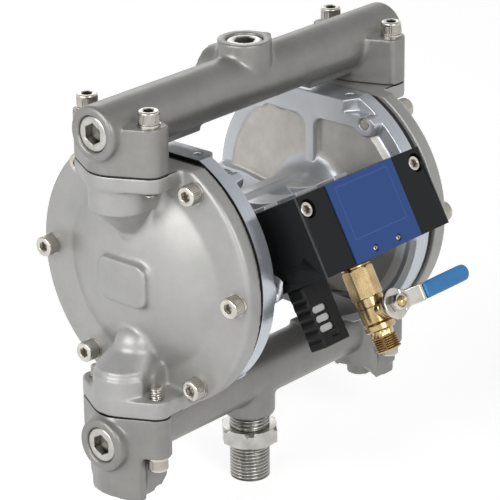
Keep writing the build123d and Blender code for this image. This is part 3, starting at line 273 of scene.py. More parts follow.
def joint_line(material, least_x):
    """1 on the sides just above and below the two planes where the manifolds meet the covers, past a given X.

    The distance to the nearer plane is less than the line's half, and more than that of the two faces that
    lie in the joint, so that these keep their own colour where they stand clear.
    """
    x, _, z = place_parts(material)
    upper = sums(material, z, "SUBTRACT", upper_joint_height, "ABSOLUTE", 0.0)
    lower = sums(material, z, "SUBTRACT", lower_joint_height, "ABSOLUTE", 0.0)
    nearer = sums(material, upper, "MINIMUM", lower)
    return sums(material, within(material, nearer, joint_line_half), "MULTIPLY",
                beyond(material, nearer, joint_face_half), "MULTIPLY", beyond(material, x, least_x))


def blasted_relief(material):
    """The fine dimples of blasting, over the slight unevenness of a casting."""
    bump(material, noise(material, scale=1200.0, detail=3.0), depth=0.00015, strength=0.5)
    bump(material, noise(material, scale=260.0), depth=0.0002, strength=0.12)


def blasted_steel(name, colour, metallic, roughness, mottle, least_joint_x):
    """Bead-blasted casting: its relief, a cloudy tone and sheen, and the dark line of its bolted joints."""
    material = new_material(name, colour, metallic, roughness)
    clouds = ramp(material, noise(material, scale=30.0, detail=10.0, fineness=0.72),
                  shade(colour, 1.0 - mottle), shade(colour, 1.0 + mottle))
    feed(material, "Base Color", blend(material, joint_line(material, least_joint_x), clouds, joint_black))
    vary_roughness(material, noise(material, scale=90.0, detail=3.0), roughness - 0.06, roughness + 0.08)
    blasted_relief(material)
    return material


def coat(piece, material):
    """Make a material the only one of a piece."""
    piece.data.materials.clear()
    piece.data.materials.append(material)


def dress(piece, body, material, replaced):
    """Give a finished piece its material, its body and the CAD node that it stands for."""
    coat(piece, material)
    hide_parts(replaced)
    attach(piece, body)


steel_casting = {"grid": 0.001, "fill_steps": 14, "ease_steps": 1, "most_faces": 150000}
cover_joint_x = 0.099
cover_metal = blasted_steel("blasted_stainless", (0.42, 0.417, 0.406), metallic=0.5, roughness=0.42,
                            mottle=0.1, least_joint_x=cover_joint_x)
for side in ("right", "left"):
    cover = cast_skin(f"cover_{side}", f"cast_cover_{side}", **steel_casting)
    dress(cover, "casing", cover_metal, f"cover_{side}")

# Centre body
# One aluminium die casting between the covers: a bright smooth skin on its webs and hub, shot-blasted panels
# between them, painted shade low down on the disc faces, and rims turned bright up to the black line of the
# clamped diaphragms.
rim_radius = 0.0832
clamp_x = 0.0806
panel_x, panel_radius = 0.0645, 0.0735
face_x, face_radius = 0.0605, 0.0785
# Heights and colour of the painted shade low down on the disc faces.
full_shade_below = shaft_height - 0.025
unshaded_above = shaft_height + 0.005
most_painted_shade = 0.85
body_painted_shade = (0.08, 0.08, 0.078)
skin_roughness = 0.3
panel_rougher = 0.16
rim_smoother = 0.08
body_metal = new_material("cast_aluminium", (0.5, 0.51, 0.53), metallic=0.65, roughness=0.32)
blasted_relief(body_metal)
along, across, upward = place_parts(body_metal)
rise_squared = sums(body_metal, upward, "SUBTRACT", shaft_height, "POWER", 2.0)
from_axis = sums(body_metal, across, "POWER", 2.0, "ADD", rise_squared, "POWER", 0.5)
on_rim = beyond(body_metal, from_axis, rim_radius)
panel = sums(body_metal, beyond(body_metal, along, panel_x), "MULTIPLY",
             within(body_metal, from_axis, panel_radius))
disc_face = sums(body_metal, beyond(body_metal, along, face_x), "MULTIPLY",
                 within(body_metal, from_axis, face_radius))
# Painted shade: the disc faces darken towards the bottom, below the shaft.
low_painted_shade = sums(body_metal, between(body_metal, upward, full_shade_below, unshaded_above, most_painted_shade, 0.0),
              "MULTIPLY", disc_face)
skin_tone = ramp(body_metal, noise(body_metal, scale=30.0, detail=4.0),
                 dark=(0.47, 0.485, 0.51), light=(0.55, 0.565, 0.59))
panel_tone = ramp(body_metal, noise(body_metal, scale=60.0, detail=8.0, fineness=0.65),
                  dark=(0.46, 0.44, 0.41), light=(0.58, 0.56, 0.53))
rim_tone = ramp(body_metal, noise(body_metal, scale=40.0, stretch=(60.0, 1.0, 1.0)),
                dark=(0.54, 0.58, 0.63), light=(0.62, 0.66, 0.71))
# The painted shade is laid over the skin and panel tones of the disc faces.
cast_tone = blend(body_metal, low_painted_shade, blend(body_metal, panel, skin_tone, panel_tone), body_painted_shade)
bare_tone = blend(body_metal, on_rim, cast_tone, rim_tone)
feed(body_metal, "Base Color", blend(body_metal, beyond(body_metal, along, clamp_x), bare_tone, joint_black))
rim_sheen = sums(body_metal, on_rim, "MULTIPLY", rim_smoother)
feed(body_metal, "Roughness", sums(body_metal, panel, "MULTIPLY", panel_rougher, "ADD", skin_roughness,
                                   "SUBTRACT", rim_sheen))
body_skin = cast_skin("centre_body", "cast_centre_body", grid=0.00055, fill_steps=8, ease_steps=1,
                      most_faces=190000)
dress(body_skin, "casing", body_metal, "centre_body")

# Manifolds
# Two investment cast stainless tubes with end blocks, bolted to the covers above and below. Their blasted
# skin is darker and cloudier than the covers'.
manifold_metal = blasted_steel("manifold_stainless", (0.29, 0.285, 0.274), metallic=0.55, roughness=0.36,
                               mottle=0.13, least_joint_x=0.0)
for level in ("upper", "lower"):
    manifold = cast_skin(f"{level}_manifold", f"cast_{level}_manifold", **steel_casting)
    dress(manifold, "casing", manifold_metal, f"{level}_manifold")

# Plugs
# Stainless pipe plugs turned from bar, with a broached hexagon socket, screwed into the tube ends and the
# top boss. A short thread and a rounded rim show round the face.
# Share of painted shade in the valleys of a thread.
thread_shade = 0.8
hexagon_corner = 1.155


def turned(rings, place, along, spin=0.0, threads=(), knurl=None, hollow=False, count=48):
    """Points, faces and hollow shares of a piece turned about an axis through a place.

    Each ring is (height, radius, flats, hollow share), the last left out where it is 0. At an angle its
    radius is the given one, but at most flats / cos(angle from the middle of the nearest of six flats),
    where flats is not 0. A thread (start, end, pitch, depth) takes depth * wave off the radius, with
    wave = 0.5 - 0.5 cos(2 pi (height / pitch) - angle), and a knurl (start, end, number, depth) takes
    depth * (0.5 - 0.5 cos(number * angle)). The hollow share, how much painted shade darkens the colour
    there, is the ring's own plus a share of the wave.
    """
    rings = np.array([(*ring, 0.0)[:4] for ring in rings])
    axis = np.asarray(along, float)
    side = np.array([1.0, 0.0, 0.0]) if abs(axis[0]) < 0.9 else np.array([0.0, 1.0, 0.0])
    side -= axis * side.dot(axis)
    side /= np.linalg.norm(side)
    angle = np.arange(count) * 2 * np.pi / count
    height, radius, flats, sunk = (rings[:, k][:, None] for k in range(4))
    sector = (angle + np.pi / 6) % (np.pi / 3) - np.pi / 6
    reach = np.where(flats > 0, flats / np.cos(sector), np.inf)
    radius = np.minimum(radius, reach)
    sunk = sunk + np.zeros_like(radius)
    for start, end, pitch, depth in threads:
        wave = 0.5 - 0.5 * np.cos(2 * np.pi * height / pitch - angle)
        wave = np.where((height > start) & (height < end), wave, 0.0)
        radius = radius - depth * wave
        sunk = sunk + thread_shade * wave
    if knurl:
        start, end, number, depth = knurl
        wave = 0.5 - 0.5 * np.cos(number * angle)
        radius = radius - np.where((height > start) & (height < end), depth * wave, 0.0)
    swing = angle + spin
    outward = np.cos(swing)[:, None] * side + np.sin(swing)[:, None] * np.cross(axis, side)
    points = np.asarray(place) + height[:, :, None] * axis + radius[:, :, None] * outward
    points = points.reshape(-1, 3)
    levels = len(rings)
    index = np.arange(levels * count).reshape(levels, count)
    if hollow:
        index = np.concatenate([index, index[:1]])
    turn = np.roll(index, -1, 1)
    quads = np.stack([index[:-1], turn[:-1], turn[1:], index[1:]], 2).reshape(-1, 4)
    sunk = sunk.ravel()
    if hollow:
        return points, quads, np.empty((0, 3), int), sunk
    ends = np.asarray(place) + rings[[0, -1], 0][:, None] * axis
    low = np.full(count, len(points))
    fans = [np.stack([low, turn[0], index[0]], 1), np.stack([low + 1, index[-1], turn[-1]], 1)]
    return np.concatenate([points, ends]), quads, np.concatenate(fans), np.append(sunk, rings[[0, -1], 3])


def level_rings(start, end, step, radius):
    """Rings of one radius at even heights, close enough to carry a thread."""
    heights = np.linspace(start, end, int(round(abs(end - start) / step)) + 1)
    return [(height, radius, 0) for height in heights]


def round_rings(height, radius, rise, inward, steps=5):
    """Rings of a quarter round: from (height, radius) up by rise and in by inward."""
    t = np.linspace(0, np.pi / 2, steps)
    return [(height + rise * np.sin(a), radius - inward * (1 - np.cos(a)), 0) for a in t]


def joined(name, parts, sharp=35.0):
    """One smooth-shaded object from several lots of points and faces, with edges kept sharp past an angle."""
    starts = np.cumsum([0] + [len(part[0]) for part in parts])
    quads = [part[1] + start for part, start in zip(parts, starts)]
    fans = [part[2] + start for part, start in zip(parts, starts)]
    mesh = bpy.data.meshes.new(name)
    points = np.concatenate([part[0] for part in parts])
    mesh.from_pydata(points.tolist(), [], np.concatenate(quads).tolist() + np.concatenate(fans).tolist())
    hollow = mesh.attributes.new("hollow", "FLOAT", "POINT")
    hollow.data.foreach_set("value", np.concatenate([part[3] for part in parts]))
    mesh.shade_smooth()
    mesh.set_sharp_from_angle(angle=radians(sharp))
    return placed(name, mesh)


def socket_rings(top, mouth, flats, depth):
    """Rings of a hexagon socket: a small lead-in, the six walls, and the drill point at the bottom."""
    # The walls and floor carry hollow shares of painted shade, deepest low on the walls.
    return [(top, mouth, 0), (top - 0.0004, 1.0, flats, 0.1), (top - depth, 1.0, flats, 0.6),
            (top - depth, 0.8 * flats, 0, 0.3), (top - depth - 0.0008, 0.0004, 0, 0.1)]


def pipe_plug(place, along, radius, length, flats):
    """Plug whose outer face is at the place: threaded side, rounded rim, flat face and hexagon socket."""
    thread_low, thread_high, pitch, thread_depth = 0.0006 - length, -0.0024, 0.0018, 0.0006
    rim_rise, rim_width, socket_depth = 0.0018, 0.0022, 0.0055
    rings = [(-length, radius - 0.0008, 0)] + level_rings(thread_low, thread_high, 0.0003, radius)
    rings += round_rings(-rim_rise, radius, rim_rise, rim_width)
    rings += [(0.0, radius - 0.0026, 0)]
    rings += socket_rings(0.0, flats * hexagon_corner + 0.0003, flats, socket_depth)
    return turned(rings, place, along, threads=[(thread_low, thread_high, pitch, thread_depth)])


def worked_metal(name, dark, light, hollow_shade, roughness):
    """Turned or pressed metal: cloudy tone from dark to light, uneven sheen, and painted shade in its
    hollows.
    """
    material = new_material(name, light, metallic=1.0, roughness=roughness)
    # The hollow share of each point blends in the colour of painted shade given for hollows.
    depth = material.node_tree.nodes.new("ShaderNodeAttribute")
    depth.attribute_name = "hollow"
    clouds = ramp(material, noise(material, scale=120.0, detail=3.0), dark, light)
    feed(material, "Base Color", blend(material, depth.outputs["Fac"], clouds, hollow_shade))
    vary_roughness(material, noise(material, scale=300.0), roughness - 0.05, roughness + 0.09)
    return material


# The third colour of each worked metal is the painted shade of its hollows.
turned_steel = worked_metal("turned_stainless", dark=(0.44, 0.425, 0.4), light=(0.56, 0.545, 0.515),
                            hollow_shade=(0.07, 0.065, 0.055), roughness=0.27)
upper_tube_height = shaft_height + 0.1007
lower_tube_height = shaft_height - 0.1015
top_boss_height = shaft_height + 0.1257
end_plug_radius, end_plug_length = 0.01145, 0.0078
top_plug_radius, top_plug_length = 0.01185, 0.012
plug_flats = 0.006
for node, height, reach in (("upper_end_plugs", upper_tube_height, 0.1358),
                            ("lower_end_plugs", lower_tube_height, 0.1379)):
    plugs = [pipe_plug((side * reach, 0, height), (side, 0, 0), end_plug_radius, end_plug_length, plug_flats)
             for side in (1, -1)]
    dress(joined(f"turned_{node}", plugs), "casing", turned_steel, node)
top_plug = pipe_plug((0, 0, top_boss_height), (0, 0, 1), top_plug_radius, top_plug_length, plug_flats)
dress(joined("turned_top_plug", [top_plug]), "casing", turned_steel, "top_plug")

# Screws
# Bright stainless socket head cap screws: knurled heads with a rounded top edge, M8 on the casing and M6 on
# the air valve. The ends of the manifold screws stand out of the ears with their threads showing.


def cap_screw(place, along, size, length, shown_thread=0.0, spin=0.0):
    """Socket head cap screw that seats at the place, its head along the given way.

    The size is the head's radius and height, the key's width and the shank's radius. The head's rounding,
    knurl and lead-in are shares of its radius, and the thread's pitch and depth are shares of the shank's.
    """
    head_r, head_height, key, shank_r = size
    bottom = shank_r / 5 - length
    thread = (bottom, bottom + shown_thread, shank_r * 0.4, shank_r * 0.14)
    knurl = (head_r * 0.08, head_height - head_r * 0.22, 36, head_r * 0.03)
    side_heights = np.linspace(head_r * 0.1, head_height - head_r * 0.24, 8)
    rounding = head_r * 0.18
    rings = [(-length, shank_r * 0.8, 0)]
    rings += level_rings(*thread[:2], 0.00025, shank_r) if shown_thread else [(bottom, shank_r, 0)]
    # Hollow shares: painted shade where the head meets the shank, and a painted dark reflection on the
    # knurled sides.
    rings += [(0.0, shank_r, 0), (0.0, head_r * 0.95, 0, 0.3), (head_r * 0.05, head_r, 0, 0.2)]
    rings += [(height, head_r, 0, 0.35) for height in side_heights]
    rings += round_rings(head_height - rounding, head_r, rounding, rounding)
    rings += socket_rings(head_height, key / 2 * hexagon_corner + head_r * 0.08, key / 2, head_height / 2)
    return turned(rings, place, along, spin, threads=[thread], knurl=knurl, count=144)


# Its third colour is the painted shade of sockets and threads.
bright_steel = worked_metal("bright_screw", dark=(0.52, 0.49, 0.44), light=(0.68, 0.65, 0.6),
                            hollow_shade=(0.07, 0.055, 0.04), roughness=0.18)
m8 = (0.0065, 0.008, 0.006, 0.004)
bolt_circle = 0.0776
bolt_turn = radians(54.6)
cover_face = 0.0976
cover_screw_length = 0.035
cover_screw_turn, ear_screw_turn = 1.7, 1.1
ear_x, ear_y = 0.1138, 0.0253
bolt_angles = [0, bolt_turn, pi - bolt_turn, pi, pi + bolt_turn, -bolt_turn]
for node, side in (("cover_screws_right", 1), ("cover_screws_left", -1)):
    screws = [cap_screw((side * cover_face, bolt_circle * cos(a), shaft_height + bolt_circle * sin(a)),
                        (side, 0, 0), m8, cover_screw_length, spin=cover_screw_turn * k)
              for k, a in enumerate(bolt_angles)]
    dress(joined(f"bright_{node}", screws), "casing", bright_steel, node)
ears = [(ear_x * end, ear_y * side) for end in (1, -1) for side in (1, -1)]
for node, level, way, length, shown in (("upper_manifold_screws", 0.1074, 1, 0.046, 0.007),
                                        ("lower_manifold_screws", -0.1108, -1, 0.048, 0.011)):
    screws = [cap_screw((x, y, shaft_height + level), (0, 0, way), m8, length, shown, ear_screw_turn * k)
              for k, (x, y) in enumerate(ears)]
    dress(joined(f"bright_{node}", screws), "casing", bright_steel, node)

# Washers
# Split spring washers of square steel, pressed flat under the screw heads.
flat_within = radians(0.5)
corner_past = 0.5
long_edge = 0.004
sharp_past = radians(32.0)


def eased_copy(node, name, edge=0.0):
    """Copy of a CAD node, welded and smooth-shaded, with its long edges rounded by the given width."""
    mesh, work = welded_copy(node)
    if edge:
        bmesh.ops.dissolve_limit(work, angle_limit=flat_within, verts=work.verts, edges=work.edges)
        weight = work.edges.layers.float.new("bevel_weight_edge")
        for line in work.edges:
            if line.calc_length() > long_edge and line.calc_face_angle(0.0) > corner_past:
                line[weight] = 1.0
    work.to_mesh(mesh)
    work.free()
    mesh.shade_smooth()
    mesh.set_sharp_from_angle(angle=sharp_past)
    piece = placed(name, mesh)
    if edge:
        rounding = piece.modifiers.new("rounded_edges", "BEVEL")
        rounding.limit_method = "WEIGHT"
        rounding.width = edge
        rounding.segments = 3
        rounding.harden_normals = True
        baked_mesh(piece)
    return piece


for node in ("cover_washers", "manifold_washers"):
    dress(eased_copy(node, f"sprung_{node}"), "casing", bright_steel, node)

# Suction nipple
# Hexagon nipple turned from stainless bar, a pipe thread at each end, screwed into the bottom boss. The
# heights of its rings are measured from the shaft.
thread_radius = 0.0132
neck_radius = 0.0123
lead_radius = 0.0122
nipple_bore = 0.0095
nipple_flats = 0.0175
corner_radius, chamfer_radius = 0.0204, 0.0178
nipple_pitch, nipple_thread_depth = 0.0024, 0.0009
nipple_rings = [(-0.174, lead_radius, 0)] + level_rings(-0.1732, -0.1496, 0.0003, thread_radius)
nipple_rings += [(-0.1492, neck_radius, 0), (-0.148, neck_radius, 0), (-0.148, chamfer_radius, 0),
                 (-0.1466, corner_radius, nipple_flats), (-0.1384, corner_radius, nipple_flats),
                 (-0.137, chamfer_radius, 0), (-0.137, neck_radius, 0), (-0.1366, neck_radius, 0)]
nipple_rings += level_rings(-0.1362, -0.1175, 0.0003, thread_radius)
nipple_rings += [(-0.1165, lead_radius, 0), (-0.1165, nipple_bore, 0), (-0.1732, nipple_bore, 0),
                 (-0.174, 0.0103, 0)]
nipple_threads = [(-0.1732, -0.1498, nipple_pitch, nipple_thread_depth),
                  (-0.1361, -0.1175, nipple_pitch, nipple_thread_depth)]
nipple = turned(nipple_rings, (0, 0, shaft_height), (0, 0, 1), spin=radians(15), threads=nipple_threads,
                hollow=True, count=96)
dress(joined("turned_nipple", [nipple]), "casing", turned_steel, "suction_nipple")

# Check valves
# White fluoropolymer balls in slotted cages, over stainless seats sealed with rings, all inside the ports.
# They keep the CAD shape and get the finish.


def finish_nodes(material, *names):
    """Give CAD nodes that stay as they are a better material."""
    for name in names:
        coat(nodes[name], material)


polymer = new_material("white_polymer", (0.8, 0.8, 0.77), metallic=0.0, roughness=0.4)
bump(polymer, noise(polymer, scale=900.0), depth=0.00005, strength=0.3)
rubber = new_material("seal_rubber", (0.018, 0.018, 0.018), metallic=0.0, roughness=0.55)
bump(rubber, noise(rubber, scale=800.0), depth=0.00005, strength=0.3)
finish_nodes(polymer, "discharge_cages", "suction_cages", "discharge_ball_right", "discharge_ball_left",
             "suction_ball_right", "suction_ball_left")
finish_nodes(turned_steel, "discharge_seats", "suction_seats")
finish_nodes(rubber, "port_seals")

# Shaft and diaphragms
# Ground steel rod in white bushes, with clamp discs and nuts. The black rubber diaphragms are clamped between
# the covers and the centre body, and show only as a dark line there.
finish_nodes(turned_steel, "centre_shaft", "inner_discs", "outer_discs", "shaft_nuts")
finish_nodes(polymer, "shaft_bushes")
finish_nodes(rubber, "diaphragm_right", "diaphragm_left", "shaft_seals")

# Air valve
# Black anodised aluminium block with ground edges, a painted grey highlight on the front corners at both
# ends of its face, held by two M6 screws sunk in counterbores. A plain blue anodised plate with an engraved
# border is let into the face.
valve_tilt = radians(29.6)
valve_up = np.array([0.0, sin(valve_tilt), cos(valve_tilt)])
valve_out = np.array([0.0, -cos(valve_tilt), sin(valve_tilt)])


def on_valve(x, up, out):
    """Place in the valve's own tilted frame: along the shaft, up the face, and out from the shaft."""
    return np.array([x, 0.0, shaft_height]) + up * valve_up + out * valve_out


def reach_along(material, way):
    """How far each place lies from the shaft along a way square to it: the sum of its Y and its Z share."""
    _, y, z = place_parts(material)
    rise = sums(material, z, "SUBTRACT", shaft_height, "MULTIPLY", way[2])
    return sums(material, y, "MULTIPLY", way[1], "ADD", rise)


def border_line(material, half_x, low, high, width):
    """1 on the outline of a rectangle on the valve's face and 0 elsewhere, from the distance to its edge."""
    x = place_parts(material)[0]
    beyond_side = sums(material, x, "ABSOLUTE", 0.0, "SUBTRACT", half_x)
    beyond_end = sums(material, reach_along(material, valve_up), "SUBTRACT", (low + high) / 2,
                      "ABSOLUTE", 0.0, "SUBTRACT", (high - low) / 2)
    return within(material, sums(material, beyond_side, "MAXIMUM", beyond_end), width / 2)


block_corner_x = 0.0583
block_corner_out = 0.1076
block_black = (0.008, 0.009, 0.01)
# Colour of the painted highlight on the block's front corners.
edge_highlight_grey = (0.075, 0.08, 0.085)
black = new_material("black_anodised", block_black, metallic=0.0, roughness=0.38, specular=0.2)
vary_roughness(black, noise(black, scale=200.0), low=0.34, high=0.46)
bump(black, noise(black, scale=1800.0), depth=0.00004, strength=0.25)
# Painted highlight: the front corners at both ends of the face are lighter grey.
painted_edge_highlight = sums(black, reach_along(black, valve_out), "GREATER_THAN", block_corner_out,
              "MULTIPLY", beyond(black, place_parts(black)[0], block_corner_x))
feed(black, "Base Color", blend(black, painted_edge_highlight, block_black, edge_highlight_grey))
valve_block = eased_copy("valve_block", "anodised_block", edge=0.0005)
dress(valve_block, "casing", black, "valve_block")
finish_nodes(black, "valve_end_caps")
finish_nodes(turned_steel, "valve_spool", "valve_sleeve")
finish_nodes(rubber, "valve_gasket")

border_half, border_low, border_high, border_width = 0.0245, -0.030, 0.0035, 0.0007
plate_blue = (0.028, 0.085, 0.3)
engraved_blue = (0.05, 0.13, 0.4)
blue = new_material("blue_anodised", plate_blue, metallic=0.2, roughness=0.4, specular=0.35)
engraved = border_line(blue, border_half, border_low, border_high, border_width)
feed(blue, "Base Color", blend(blue, engraved, plate_blue, engraved_blue))
vary_roughness(blue, noise(blue, scale=200.0), low=0.36, high=0.46)
bump(blue, noise(blue, scale=1800.0), depth=0.00003, strength=0.2)
bump(blue, engraved, depth=0.0002, strength=-0.8)
face_plate = eased_copy("valve_face_plate", "blue_plate", edge=0.0002)
dress(face_plate, "casing", blue, "valve_face_plate")

m6 = (0.005, 0.006, 0.005, 0.003)
valve_screw_x, valve_screw_up, counterbore_out = 0.0516, -0.0015, 0.1012
valve_screw_length = 0.0522
valve_screws = [cap_screw(on_valve(valve_screw_x * side, valve_screw_up, counterbore_out), valve_out, m6,
                          valve_screw_length, spin=0.4 + side) for side in (1, -1)]
dress(joined("bright_valve_screws", valve_screws), "casing", bright_steel,
      "valve_block_screws")
plate_screw_x, plate_screw_up, plate_screw_out = 0.011, -0.0393, 0.1086
# The head's rim carries a hollow share of 0.95: painted shade of the gap round the head.
plate_screw_rings = [(-0.012, 0.0016, 0), (-0.0116, 0.002, 0), (-0.0002, 0.002, 0, 0.95),
                     (-0.0004, 0.0016, 0, 0.95), (-0.0003, 0.0015, 0), (0.0, 0.0011, 0)]
plate_screw_rings += socket_rings(0.0, 0.0008, 0.0006, 0.001)
plate_screws = [turned(plate_screw_rings, on_valve(plate_screw_x * side, plate_screw_up, plate_screw_out),
                       valve_out, spin=side) for side in (1, -1)]
dress(joined("bright_plate_screws", plate_screws), "casing", bright_steel,
      "face_plate_screws")

# Air inlet ball valve
# Brass body turned from hexagon bar, sealed under the block by a rubber ring. A plated steel lever with a
# dipped vinyl sleeve turns its stem, over a hexagon gland and under a nut.
# Its brown third colour is the painted shade of grooves and threads.
brass = worked_metal("turned_brass", dark=(0.43, 0.31, 0.15), light=(0.6, 0.46, 0.245),
                     hollow_shade=(0.12, 0.05, 0.015), roughness=0.24)
hexagon_sharp = 20.0
inlet_out, stem_down = 0.076, 0.076
valve_down = -valve_up
valve_axis = on_valve(0.0, 0.0, inlet_out)
stem_foot = on_valve(0.0, -stem_down, 0.0)
body_flats, cap_flats = 0.00875, 0.0065
passage_radius, bore_radius = 0.0045, 0.0075
barrel_radius, groove_radius, air_thread_radius = 0.0093, 0.0089, 0.0083
neck = [(0.0355, passage_radius, 0), (0.0355, 0.0078, 0), (0.0361, 0.0083, 0), (0.046, 0.0083, 0)]
# Hollow shares: painted shade in the groove under the top ring and in the barrel's groove.
top_ring = [(0.046, 0.0092, 0), (0.0463, 0.0095, 0), (0.0471, 0.0095, 0), (0.0474, 0.0088, 0, 0.8),
            (0.0479, 0.0088, 0, 0.8)]
hexagon = [(0.048, 0.0095, body_flats), (0.0486, 0.0102, body_flats), (0.066, 0.0102, body_flats),
           (0.0666, 0.0095, body_flats)]
barrel = [(0.067, 0.0087, 0), (0.0671, barrel_radius, 0), (0.0724, barrel_radius, 0),
          (0.0725, groove_radius, 0, 0.7), (0.0731, groove_radius, 0, 0.7), (0.0732, barrel_radius, 0),
          (0.0828, barrel_radius, 0), (0.084, 0.0084, 0)]
bore = [(0.084, bore_radius, 0), (0.0703, bore_radius, 0), (0.0703, passage_radius, 0)]
inlet_body = turned(neck + top_ring + hexagon + barrel + bore, valve_axis, valve_down,
                    spin=radians(12), hollow=True, count=72)
stem_boss = turned([(0.0825, 0.0064, 0), (0.086, 0.0064, 0), (0.0868, 0.006, 0), (0.0881, 0.006, 0),
                    (0.0885, 0.0056, 0)], stem_foot, valve_out)
dress(joined("brass_body", [inlet_body, stem_boss], hexagon_sharp), "casing", brass,
      "inlet_valve_body")
shoulder = [(0.0821, passage_radius, 0), (0.0821, 0.0072, 0), (0.084, 0.0072, 0), (0.084, barrel_radius, 0),
            (0.0845, 0.0099, 0), (0.0877, 0.0099, 0), (0.0885, 0.0088, 0), (0.0885, 0.0071, 0)]
key_hexagon = [(0.0892, 0.0076, cap_flats), (0.0919, 0.0076, cap_flats), (0.0925, 0.007, 0),
               (0.0925, 0.0072, 0)]
inlet_thread = level_rings(0.0928, 0.1012, 0.0002, air_thread_radius)
mouth = [(0.102, 0.0073, 0), (0.102, 0.005, 0), (0.1015, passage_radius, 0)]
inlet_cap = turned(shoulder + key_hexagon + inlet_thread + mouth, valve_axis, valve_down, hollow=True,
                   count=72, threads=[(0.0928, 0.1013, 0.0014, 0.0009)])
dress(joined("brass_end", [inlet_cap]), "casing", brass, "inlet_valve_cap")
finish_nodes(brass, "inlet_ball")
dress(eased_copy("inlet_stem", "brass_stem"), "lever", brass, "inlet_stem")
dress(eased_copy("inlet_seal_ring", "inlet_ring"), "casing", rubber, "inlet_seal_ring")

nut_flats = 0.005
stem_hole = 0.00305
gland = turned([(0.0885, 0.0052, 0), (0.0888, 0.0058, nut_flats), (0.0935, 0.0058, nut_flats),
                (0.094, 0.005, 0), (0.094, stem_hole, 0), (0.0885, stem_hole, 0)],
               stem_foot, valve_out, hollow=True)
dress(joined("hex_gland", [gland], hexagon_sharp), "casing", bright_steel, "stem_gland")
# Hollow shares: painted shade at the nut's seat and in its bore.
nut = turned([(0.0964, 0.0054, nut_flats, 0.9), (0.0966, 0.0057, nut_flats, 0.5), (0.0972, 0.0057, nut_flats),
              (0.1008, 0.0057, nut_flats), (0.1014, 0.0049, 0), (0.1014, 0.0036, 0, 0.3),
              (0.101, stem_hole, 0, 0.9), (0.0964, stem_hole, 0, 0.9)],
             stem_foot, valve_out, spin=radians(20), hollow=True)
dress(joined("hex_nut", [nut], hexagon_sharp), "lever", bright_steel, "lever_nut")

plated = worked_metal("plated_steel", dark=(0.5, 0.48, 0.43), light=(0.64, 0.62, 0.58),
                      hollow_shade=(0.1, 0.09, 0.08), roughness=0.2)
bump(plated, noise(plated, scale=120.0), depth=0.0003, strength=0.15)
lever = cast_skin("inlet_lever", "pressed_lever", grid=0.0004, fill_steps=10, ease_steps=6, most_faces=60000)
dress(lever, "lever", plated, "inlet_lever")
vinyl = new_material("blue_vinyl", (0.03, 0.25, 0.62), metallic=0.0, roughness=0.25)
feed(vinyl, "Base Color", ramp(vinyl, noise(vinyl, scale=80.0), dark=(0.026, 0.23, 0.58),
                               light=(0.034, 0.27, 0.66)))
bump(vinyl, noise(vinyl, scale=500.0), depth=0.00006, strength=0.3)
grip = cast_skin("lever_grip", "dipped_grip", grid=0.0005, fill_steps=4, ease_steps=8, most_faces=60000)
dress(grip, "lever", vinyl, "lever_grip")

# Silencer
# Black moulded case with scalloped sides and three slots, screwed up into the block; a white felt block shows
# through the slots.
moulded = new_material("black_moulding", (0.007, 0.007, 0.0075), metallic=0.0, roughness=0.42, specular=0.22)
vary_roughness(moulded, noise(moulded, scale=150.0), low=0.36, high=0.5)
bump(moulded, noise(moulded, scale=1200.0), depth=0.00006, strength=0.3)
silencer = cast_skin("silencer_case", "moulded_silencer", grid=0.0004, fill_steps=4, ease_steps=3,
                     most_faces=120000)
dress(silencer, "casing", moulded, "silencer_case")
felt = new_material("white_felt", (0.8, 0.8, 0.78), metallic=0.0, roughness=0.8)
bump(felt, noise(felt, scale=1500.0), depth=0.0002, strength=0.5)
finish_nodes(felt, "silencer_element")

# Floor and background
# A plain pale floor under the pump, which still takes its shadow, and a plain white surround. The surround
# gives less light than it shows, and is dimmer overhead, as in a photo tent lit from its sides.
floor_drop = -0.036
floor_half = 3.0
floor_glow = 0.72
surround_light = 0.3
overhead_light = 0.3
dimmer_from, dimmest_from = 0.25, 0.95


def seen_directly(owner):
    """1 on rays that show a thing in the camera, a mirror or a clear body, and 0 on the others."""
    rays = owner.node_tree.nodes.new("ShaderNodeLightPath")
    return sums(owner, rays.outputs["Is Camera Ray"], "MAXIMUM", rays.outputs["Is Glossy Ray"],
                "MAXIMUM", rays.outputs["Is Transmission Ray"])


floor_mesh = bpy.data.meshes.new("floor")
floor_mesh.from_pydata([(-floor_half, -floor_half, floor_drop), (floor_half, -floor_half, floor_drop),
                        (floor_half, floor_half, floor_drop), (-floor_half, floor_half, floor_drop)],
                       [], [(0, 1, 2, 3)])
floor = placed("floor", floor_mesh)
floor_finish = new_material("pale_floor", (0.6, 0.6, 0.6), metallic=0.0, roughness=0.9)
surface_of(floor_finish).inputs["Emission Color"].default_value = (1.0, 1.0, 1.0, 1.0)
feed(floor_finish, "Emission Strength",
     sums(floor_finish, seen_directly(floor_finish), "MULTIPLY", floor_glow))
coat(floor, floor_finish)

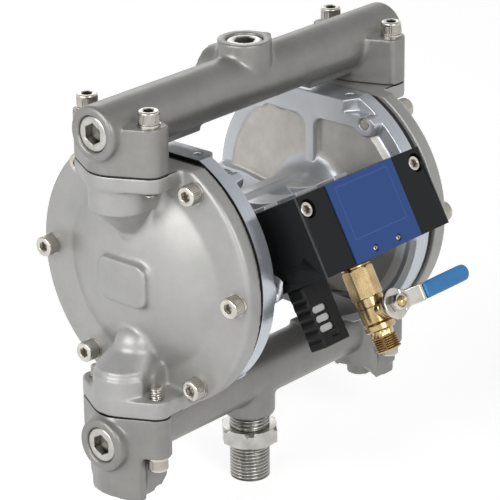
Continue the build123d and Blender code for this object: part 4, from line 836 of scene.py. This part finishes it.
world = bpy.data.worlds.new("white_surround")
bpy.context.scene.world = world
world.use_nodes = True
surround = world.node_tree.nodes["Background"]
surround.inputs["Color"].default_value = (1.0, 1.0, 1.0, 1.0)
shown = between(world, seen_directly(world), 0.0, 1.0, surround_light, 1.0)
overhead = between(world, place_parts(world, "Generated")[2], dimmer_from, dimmest_from, 1.0, overhead_light)
world.node_tree.links.new(sums(world, shown, "MULTIPLY", overhead), surround.inputs["Strength"])

# Lamps
# A large soft lamp on the left, a smaller and weaker one in front, and a faint strip behind for the edges.
lamps_aim = Vector((0.0, 0.0, 0.13))
for name, place, width, height, power in (("key_lamp", (-0.5, -1.6, 1.1), 0.9, 0.9, 11.5),
                                          ("side_lamp", (-1.7, 0.1, 1.0), 1.5, 1.1, 20.0),
                                          ("rim_lamp", (0.9, 1.2, 0.9), 0.8, 0.4, 2.0)):
    light = bpy.data.lights.new(name, "AREA")
    light.shape = "RECTANGLE"
    light.size = width
    light.size_y = height
    light.energy = power
    lamp = placed(name, light)
    lamp.location = place
    lamp.rotation_euler = (lamps_aim - Vector(place)).to_track_quat("-Z", "Y").to_euler()

# Camera
# The photograph's own view, worked out from the bolt circles and the tube axes.
view_turn = radians(-48.39)
view_height = radians(21.99)
view_roll = radians(-0.73)
view_place = (-1.1965, -1.065, 0.7705)
focal_pixels = 2705.3
frame_pixels = 500
sensor = 36.0
right = Vector((cos(view_turn), sin(view_turn), 0.0))
back = Vector((sin(view_turn) * cos(view_height), -cos(view_turn) * cos(view_height), sin(view_height)))
up = back.cross(right)
rolled_right = cos(view_roll) * right + sin(view_roll) * up
rolled_up = cos(view_roll) * up - sin(view_roll) * right
camera_data = bpy.data.cameras.new("camera")
camera_data.sensor_width = sensor
camera_data.lens = sensor * focal_pixels / frame_pixels
camera_data.clip_end = 20.0
camera = placed("camera", camera_data)
turn = Matrix((rolled_right, rolled_up, back)).transposed().to_4x4()
camera.matrix_world = Matrix.Translation(view_place) @ turn
bpy.context.scene.camera = camera
bpy.context.scene.view_settings.view_transform = "Standard"
